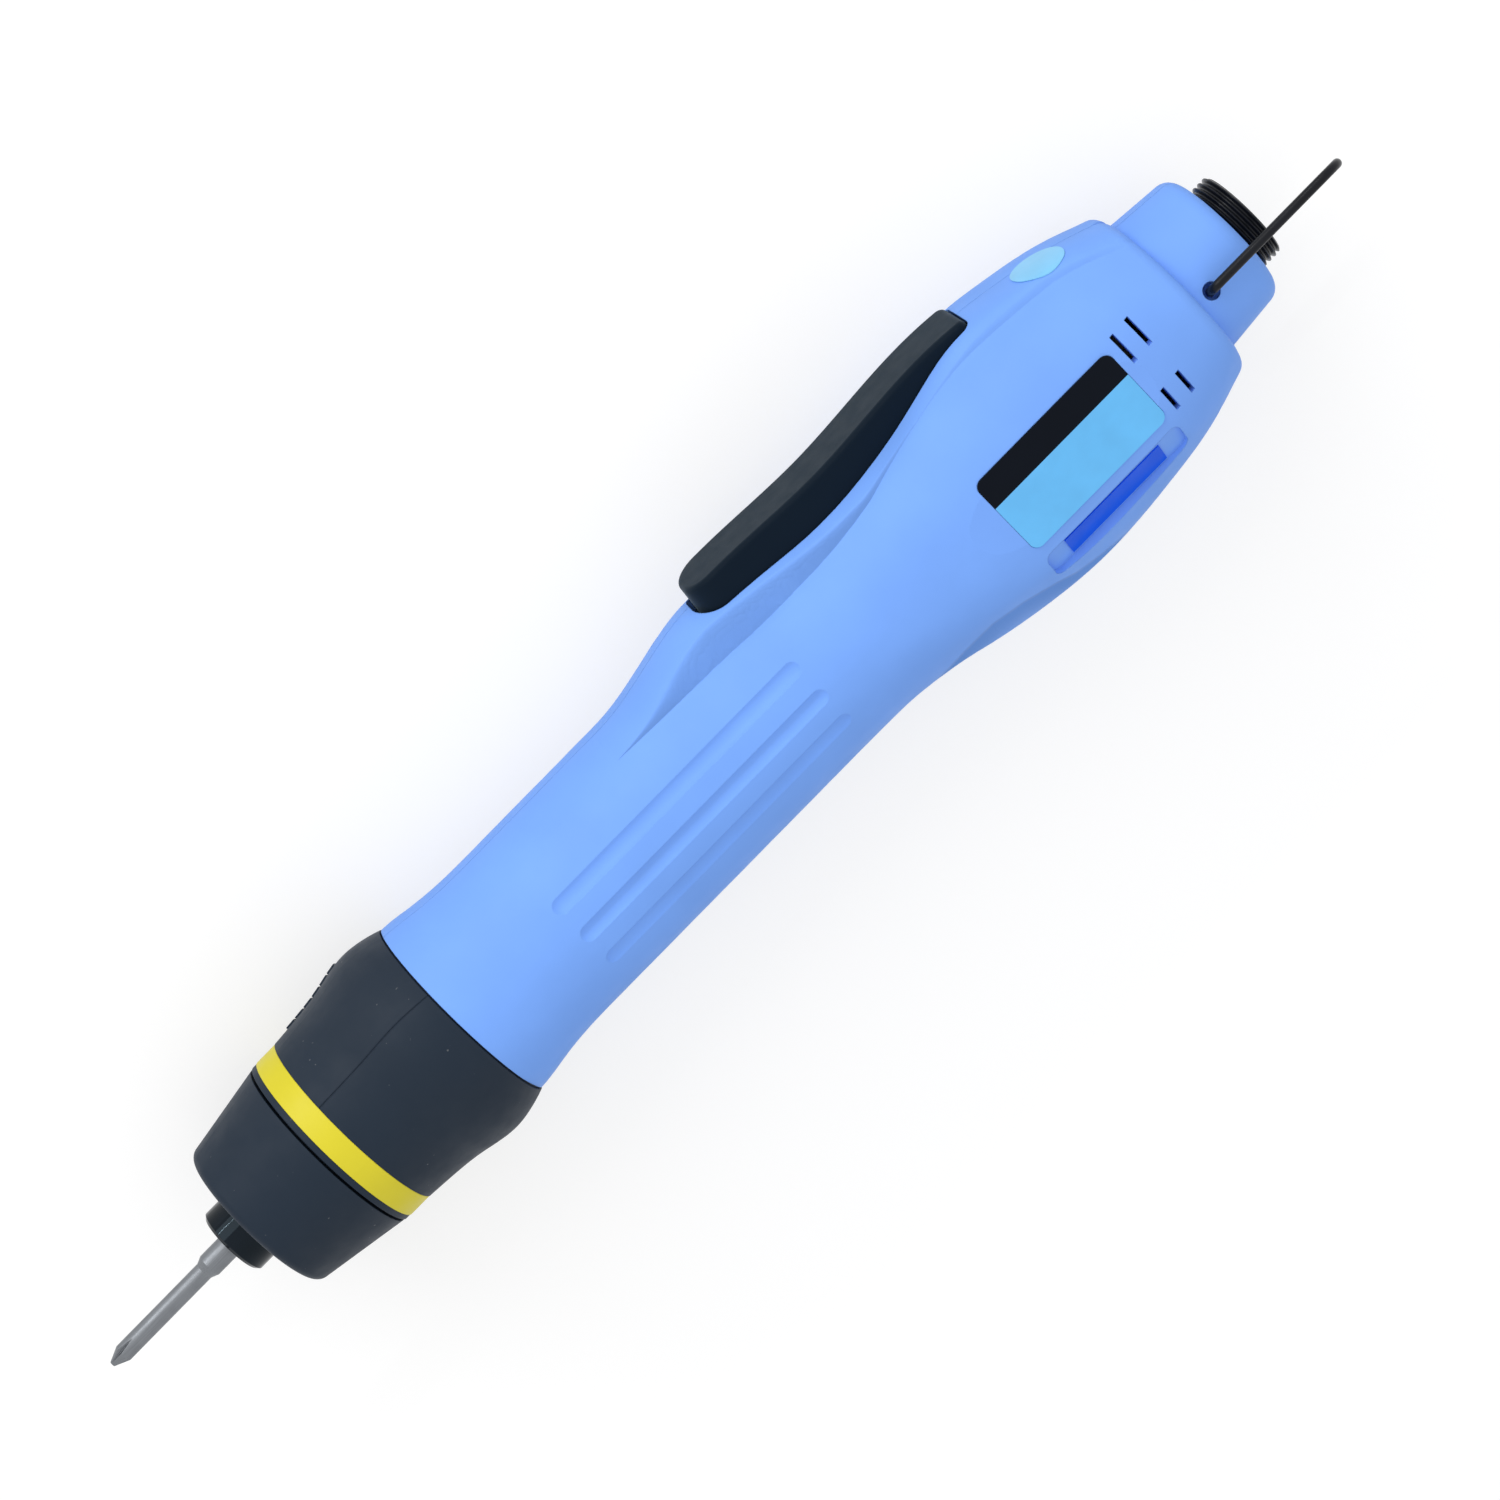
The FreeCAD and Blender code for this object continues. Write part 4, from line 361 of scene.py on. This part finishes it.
def housing_creases(n):
    """(height in millimetres, how matt) of the creases beside the spine and of the facet under the chin."""
    offset = n.add("ShaderNodeVectorMath", {"operation": "SUBTRACT"}, {0: n.place, 1: tuple(AXIS_POINT)})
    scaled = n.add("ShaderNodeVectorMath", {"operation": "SCALE"}, {0: offset.outputs[0], "Scale": 1 / MM})
    x, y, z = n.add("ShaderNodeSeparateXYZ", inputs={0: scaled.outputs[0]}).outputs
    inside = n.number("SUBTRACT", n.line(x, SPINE_FOOT), n.number("ABSOLUTE", z))
    spine, _ = crease(n, inside, n.number("MAXIMUM", n.line(x, SPINE_WALL), LEAST_WALL))
    spine = n.number("MULTIPLY", spine, n.number("GREATER_THAN", y, 0.0))
    below = n.number("SUBTRACT", n.line(x, CHIN_EDGE), y)
    chin, slope = crease(n, below, CHIN_WIDE)
    height = n.number("SUBTRACT", n.number("MULTIPLY", spine, n.line(x, SPINE_SLOPE)),
                      n.number("MULTIPLY", chin, CHIN_SLOPE))
    return height, n.number("MULTIPLY", slope, n.between(below, 0, 1, CHIN_MATT))


def moulded(name, colour, roughness, grain=GRAIN_SIZE, depth=GRAIN_DEPTH, edge_wear_and_highlight=1.25, specular=0.5,
            specks=None, relief=None, sheen=0.0):
    """Satin moulded plastic with a fine grain, edges lighter in patches (partly wear, partly a painted highlight)
    and a few pale specks.
    """
    n = Look(name, Specular_IOR_Level=specular, Sheen_Weight=sheen, Sheen_Roughness=SHEEN_ROUGHNESS,
             Sheen_Tint=COOL)
    normal, mask = n.edges(MOULD_EDGE)
    if relief:
        height, matt = relief(n)
        normal = n.bump(height, MM, normal)
        n.set(n.shader, {"Specular_IOR_Level": n.between(matt, specular, 0, UNIT)})
    tone = n.shades(n.noise(MOULD_CLOUD, detail=4.0), colour, MOULD_TINTS)
    # Edges lighter in patches: partly wear, partly a painted highlight along the edges
    tone = n.mix(n.wear_and_highlight_patches(mask, MOULD_WEAR_AND_HIGHLIGHT_PATCH, MOULD_WEAR_AND_HIGHLIGHT_SHARES), tone, tinted(colour, edge_wear_and_highlight))
    if specks:
        tone = n.mix(n.between(n.noise(SPECK_SIZE, detail=1.0), 0, SPECK_SHARE, SPECK_SPAN), tone, specks)
    n.bump(n.noise(grain, detail=2.0), depth, normal)
    return n.finish(tone, n.noise(MOULD_PATCH), roughness - MOULD_SPREAD, roughness + MOULD_SPREAD)


def turned(name, colour, roughness, along=False):
    """Metal with fine tool marks round the axis, or drawn along it."""
    n = Look(name, Metallic=1.0)
    normal, mask = n.edges(TURNED_EDGE)
    marks = n.noise(MARK_SIZE, stretch=MARK_ALONG if along else MARK_ROUND)
    stain = n.noise(STAIN_SIZE, detail=4.0)
    tone = n.shades(marks, colour, MARK_TINTS)
    tone = n.mix(mask, tone, tinted(colour, TURNED_WORN))
    tone = n.mix(n.between(stain, 0, STAIN_SHARE, STAIN_SPAN), tone, tinted(colour, STAIN_TINT))
    n.bump(marks, MARK_DEPTH, normal, MARK_STRENGTH)
    return n.finish(tone, stain, *(roughness + change for change in STAIN_ROUGHNESS))


def oxide(name, roughness, depth=OXIDE_DEPTH, tint=WHITE):
    """Black oxide on steel: dark, oily, lighter where it is rubbed."""
    n = Look(name, Specular_IOR_Level=OXIDE_SPECULAR, Specular_Tint=tint)
    normal, mask = n.edges(OXIDE_EDGE)
    tone = n.shades(n.noise(OXIDE_CLOUD, detail=4.0), BLACK_OXIDE, OXIDE_TINTS)
    tone = n.mix(n.wear_and_highlight_patches(mask, OXIDE_RUB, OXIDE_RUB_SHARES), tone, RUBBED_OXIDE)
    n.bump(n.noise(OXIDE_GRAIN), depth, normal)
    return n.finish(tone, n.noise(OXIDE_PATCH), roughness / OXIDE_SPREAD, roughness * OXIDE_SPREAD)


def film(name, colour, specular=0.4):
    """Printed film."""
    n = Look(name, Specular_IOR_Level=specular)
    tone = n.shades(n.noise(FILM_CLOUD), colour, FILM_TINTS)
    n.bump(n.noise(FILM_WAVE), FILM_DEPTH)
    return n.finish(tone, n.noise(FILM_PATCH), *FILM_ROUGHNESS)


def board_green(name):
    """Solder mask over copper tracks."""
    n = Look(name, Specular_IOR_Level=BOARD_SPECULAR)
    inputs = {"Vector": n.scaled(TRACK_SIZE), "Scale": 1.0, "Mortar_Size": TRACK_SHARE}
    tracks = n.add("ShaderNodeTexBrick", inputs=inputs).outputs["Fac"]
    n.bump(tracks, TRACK_DEPTH)
    return n.finish(n.mix(tracks, SOLDER_MASK, TRACK), n.noise(WORKS_PATCH), *BOARD_ROUGHNESS)


def winding(name):
    """Enamelled copper wire in layers."""
    n = Look(name, Metallic=1.0)
    inputs = {"Vector": n.scaled(WIRE_SIZE), "Scale": 1.0}
    wires = n.add("ShaderNodeTexWave", {"bands_direction": "DIAGONAL"}, inputs).outputs["Fac"]
    n.bump(wires, WIRE_DEPTH)
    return n.finish(n.mix(wires, WIRE_GAP, WIRE), n.noise(WORKS_PATCH), *WIRE_ROUGHNESS)


def make_materials():
    """The materials by slot."""
    return {
        # Lighter edges of the moulded pieces: partly wear, partly a painted highlight
        "blue_housing": moulded("blue_housing", BLUE, roughness=0.52, depth=0.008 * MM, edge_wear_and_highlight=1.12,
                                specular=0.12, relief=housing_creases),
        "black_plastic": moulded("black_plastic", BLACK_PLASTIC, roughness=0.55, edge_wear_and_highlight=1.9, specular=0.22,
                                 specks=SPECK),
        "yellow_ring": moulded("yellow_ring", YELLOW, roughness=0.45, specular=0.3),
        "black_steel": oxide("black_steel", roughness=0.30),
        "bright_steel": turned("bright_steel", STEEL, roughness=0.34),
        "spring_steel": turned("spring_steel", SPRING_STEEL, roughness=0.3, along=True),
        "case_alloy": moulded("case_alloy", CASE_ALLOY, roughness=0.45, grain=0.3 * MM, depth=0.02 * MM),
        "motor_steel": turned("motor_steel", MOTOR_STEEL, roughness=0.4),
        "bronze": turned("bronze", BRONZE, roughness=0.38),
        "copper": winding("copper"),
        "magnet": moulded("magnet", MAGNET, roughness=0.35),
        "board": board_green("board"),
        "chip": moulded("chip", CHIP, roughness=0.45),
        "capacitor": film("capacitor", CAPACITOR),
        "label_cyan": film("label_cyan", LABEL_CYAN),
        "label_black": film("label_black", LABEL_BLACK, specular=0.08),
        "label_royal": film("label_royal", ROYAL, specular=0.1),
    }


def dress_nodes(materials):
    """Every solid takes the material of its slot in the record, and a few take one of their own."""
    slots = {s["node"]: s["material_slot"] for s in frame["record"]["subparts"]}
    own = {
        # Lighter edges of the lever: partly wear, partly a painted highlight
        "start_lever": moulded("lever_black", LEVER_BLACK, roughness=0.50, edge_wear_and_highlight=2.5, specular=0.05,
                               sheen=0.12),
        "screw_bit": turned("bit_steel", BIT_STEEL, roughness=0.44, along=True),
        "round_sticker": film("sticker_cyan", STICKER_CYAN),
        "bit_sleeve": oxide("sleeve_black", POLISHED_ROUGHNESS, POLISHED_DEPTH, COOL),
    }
    for name, obj in frame["nodes"].items():
        obj.data.materials.clear()
        obj.data.materials.append(own[name] if name in own else materials[slots[name]])


# Pieces

def add_object(name, data):
    """A new object in the scene."""
    obj = bpy.data.objects.new(name, data)
    bpy.context.scene.collection.objects.link(obj)
    return obj


def thread_height(turn):
    """Share of the thread's depth at a share of a turn from its root."""
    rise = 1 - abs(2 * (turn % 1.0) - 1)
    return min(1.0, max(0.0, (rise - THREAD_ROOT) / THREAD_FLANK))


def shell_rings():
    """Rings of (x, radius) round the shell, from its front end along the outside and back in the bore."""
    low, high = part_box("connector_shell")
    front, rear = low.x, high.x
    neck = rear - SHELL_OUT
    flange = neck - FLANGE_BACK
    floor = rear - SHELL_DEPTH
    plain = [(front, SHELL_SEAT_R), (front, SHELL_BODY_R), (flange, SHELL_BODY_R), (flange, FLANGE_R),
             (flange + FLANGE_LEN, FLANGE_R), (flange + FLANGE_LEN, SHELL_BODY_R), (neck, SHELL_BODY_R)]
    rings = [[place] * SHELL_STEPS for place in plain]
    count = round(SHELL_OUT / THREAD_PITCH * THREAD_STEPS)
    for i in range(count + 1):
        x = neck + SHELL_OUT * i / count
        begun = min(1.0, (x - neck) / THREAD_PITCH)
        cap = THREAD_R - max(0.0, x - rear + SHELL_CHAMFER)
        ring = []
        for k in range(SHELL_STEPS):
            height = thread_height((x - neck) / THREAD_PITCH - k / SHELL_STEPS) * begun
            ring.append((x, min(cap, THREAD_CORE_R + (THREAD_R - THREAD_CORE_R) * height)))
        rings.append(ring)
    back = [(rear, SHELL_BORE_R + SHELL_CHAMFER), (rear - SHELL_CHAMFER, SHELL_BORE_R),
            (floor, SHELL_BORE_R), (floor, SHELL_SEAT_R)]
    return rings + [[place] * SHELL_STEPS for place in back]


def make_shell(material):
    """The socket's shell with a helical thread."""
    rings = shell_rings()
    points = []
    for ring in rings:
        for k, (x, radius) in enumerate(ring):
            angle = 2 * math.pi * k / SHELL_STEPS
            y, z = radius * math.cos(angle), radius * math.sin(angle)
            points.append((x, AXIS_POINT.y + y, AXIS_POINT.z + z))
    faces = []
    for i in range(len(rings)):
        here, there = i * SHELL_STEPS, (i + 1) % len(rings) * SHELL_STEPS
        for k in range(SHELL_STEPS):
            after = (k + 1) % SHELL_STEPS
            faces.append((here + k, here + after, there + after, there + k))
    mesh = bpy.data.meshes.new("socket_shell")
    mesh.from_pydata(points, [], faces)
    made = bmesh.new()
    made.from_mesh(mesh)
    bmesh.ops.recalc_face_normals(made, faces=made.faces)
    made.to_mesh(mesh)
    made.free()
    mesh.shade_smooth()
    mesh.set_sharp_from_angle(angle=SHELL_SHARP)
    mesh.materials.append(material)
    shell = add_object("socket_shell", mesh)
    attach(shell, "housing")
    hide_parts("connector_shell")


def make_springs(material):
    """Copies of the springs in spring steel, in place of their solids."""
    for node, piece, fixed, moving, way in SPRINGS:
        spring = add_object(piece, frame["nodes"][node].data.copy())
        spring.data.materials.clear()
        spring.data.materials.append(material)
        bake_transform(spring)
        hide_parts(node)


def make_vent_shade_card(material):
    """A black card on the control board, behind the vents: painted shade, a dark sheet that stands in for the
    shade inside the housing.
    """
    low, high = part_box("control_board")
    middle = (low.z + high.z) / 2
    corner = Vector((high.x - CARD_LAP, high.y, middle - CARD_HALF))
    size = Vector((CARD_LAP + CARD_LEN, CARD_THICK, 2 * CARD_HALF))
    place = Matrix.Translation(corner + size / 2) @ Matrix.Diagonal((*size, 1))
    mesh = bpy.data.meshes.new("vent_shade_card")
    made = bmesh.new()
    bmesh.ops.create_cube(made, size=1.0, matrix=place)
    made.to_mesh(mesh)
    made.free()
    mesh.materials.append(material)
    card = add_object("vent_shade_card", mesh)
    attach(card, "housing")


# Studio

def make_floor():
    """A plain pale floor that is lifted towards white where it is seen."""
    half = FLOOR_SIZE / 2
    corners = [(-half, -half, 0), (half, -half, 0), (half, half, 0), (-half, half, 0)]
    mesh = bpy.data.meshes.new("floor")
    mesh.from_pydata(corners, [], [(0, 1, 2, 3)])
    floor = add_object("floor", mesh)
    n = Look("floor", Base_Color=FLOOR_COLOUR, Roughness=FLOOR_ROUGHNESS, Specular_IOR_Level=FLOOR_SPECULAR,
             Emission_Color=WHITE)
    n.set(n.shader, {"Emission_Strength": n.number("MULTIPLY", n.background_rays(), FLOOR_LIFT)})
    mesh.materials.append(n.material)


def view_axes():
    """(right, up, towards the camera) with the tool axis level in the picture."""
    towards = Vector((0, math.sin(VIEW_TURN), math.cos(VIEW_TURN)))
    up = Vector((0, math.cos(VIEW_TURN), -math.sin(VIEW_TURN)))
    right = X_AXIS * math.cos(VIEW_PITCH) - towards * math.sin(VIEW_PITCH)
    back = towards * math.cos(VIEW_PITCH) + X_AXIS * math.sin(VIEW_PITCH)
    return right, up, back


def picture_centre():
    """The point that the camera looks at."""
    _, up, _ = view_axes()
    return AXIS_POINT + X_AXIS * VIEW_ALONG + up * VIEW_ACROSS


def turned_frame(right, up, back, place):
    """The matrix of a camera or light at a place, which looks against its third axis."""
    matrix = Matrix((right, up, back)).transposed().to_4x4()
    matrix.translation = place
    return matrix


def make_camera():
    """The camera of the photograph."""
    right, up, back = view_axes()
    across = right * math.cos(VIEW_ROLL) - up * math.sin(VIEW_ROLL)
    upright = right * math.sin(VIEW_ROLL) + up * math.cos(VIEW_ROLL)
    camera = add_object("camera", bpy.data.cameras.new("camera"))
    camera.data.lens = VIEW_LENS
    camera.data.clip_start = CLIP_START
    camera.matrix_world = turned_frame(across, upright, back, picture_centre() + back * VIEW_DISTANCE)
    bpy.context.scene.camera = camera


def area_light(name, power, size, place, target, along):
    """A lit rectangle that faces the target, with its first side along a way."""
    light = bpy.data.lights.new(name, "AREA")
    light.shape = "RECTANGLE"
    light.energy = power
    light.size, light.size_y = size
    back = (place - target).normalized()
    right = (along - back * along.dot(back)).normalized()
    add_object(name, light).matrix_world = turned_frame(right, back.cross(right), back, place)


def make_lights():
    """A soft key light, and narrow strips for the streaks on round black pieces."""
    right, up, back = view_axes()
    centre = picture_centre()
    towards = (right * KEY_WAY[0] + up * KEY_WAY[1] + back * KEY_WAY[2]).normalized()
    area_light("key", KEY_POWER, (KEY_SIZE, KEY_SIZE), centre + towards * KEY_DISTANCE, centre, right)
    for lean, width, power in STRIPS:
        angle = math.radians(lean)
        towards = back * math.cos(angle) + up * math.sin(angle)
        area_light("strip", power, (STRIP_LENGTH, width), centre + towards * STRIP_DISTANCE, centre, right)


def make_world():
    """Even light from all round."""
    world = bpy.data.worlds.new("studio")
    bpy.context.scene.world = world
    n = Tree(world)
    level = n.between(n.background_rays(), WORLD_LEVEL, 1, UNIT)
    n.set(n.tree.nodes["Background"], {"Color": WHITE, "Strength": level})


def main():
    materials = make_materials()
    dress_nodes(materials)
    make_shell(materials["black_steel"])
    make_springs(materials["spring_steel"])
    # painted shade: a dark card behind the vents
    make_vent_shade_card(materials["chip"])
    make_floor()
    make_camera()
    make_lights()
    make_world()
    bpy.context.scene.view_settings.view_transform = "Standard"


main()
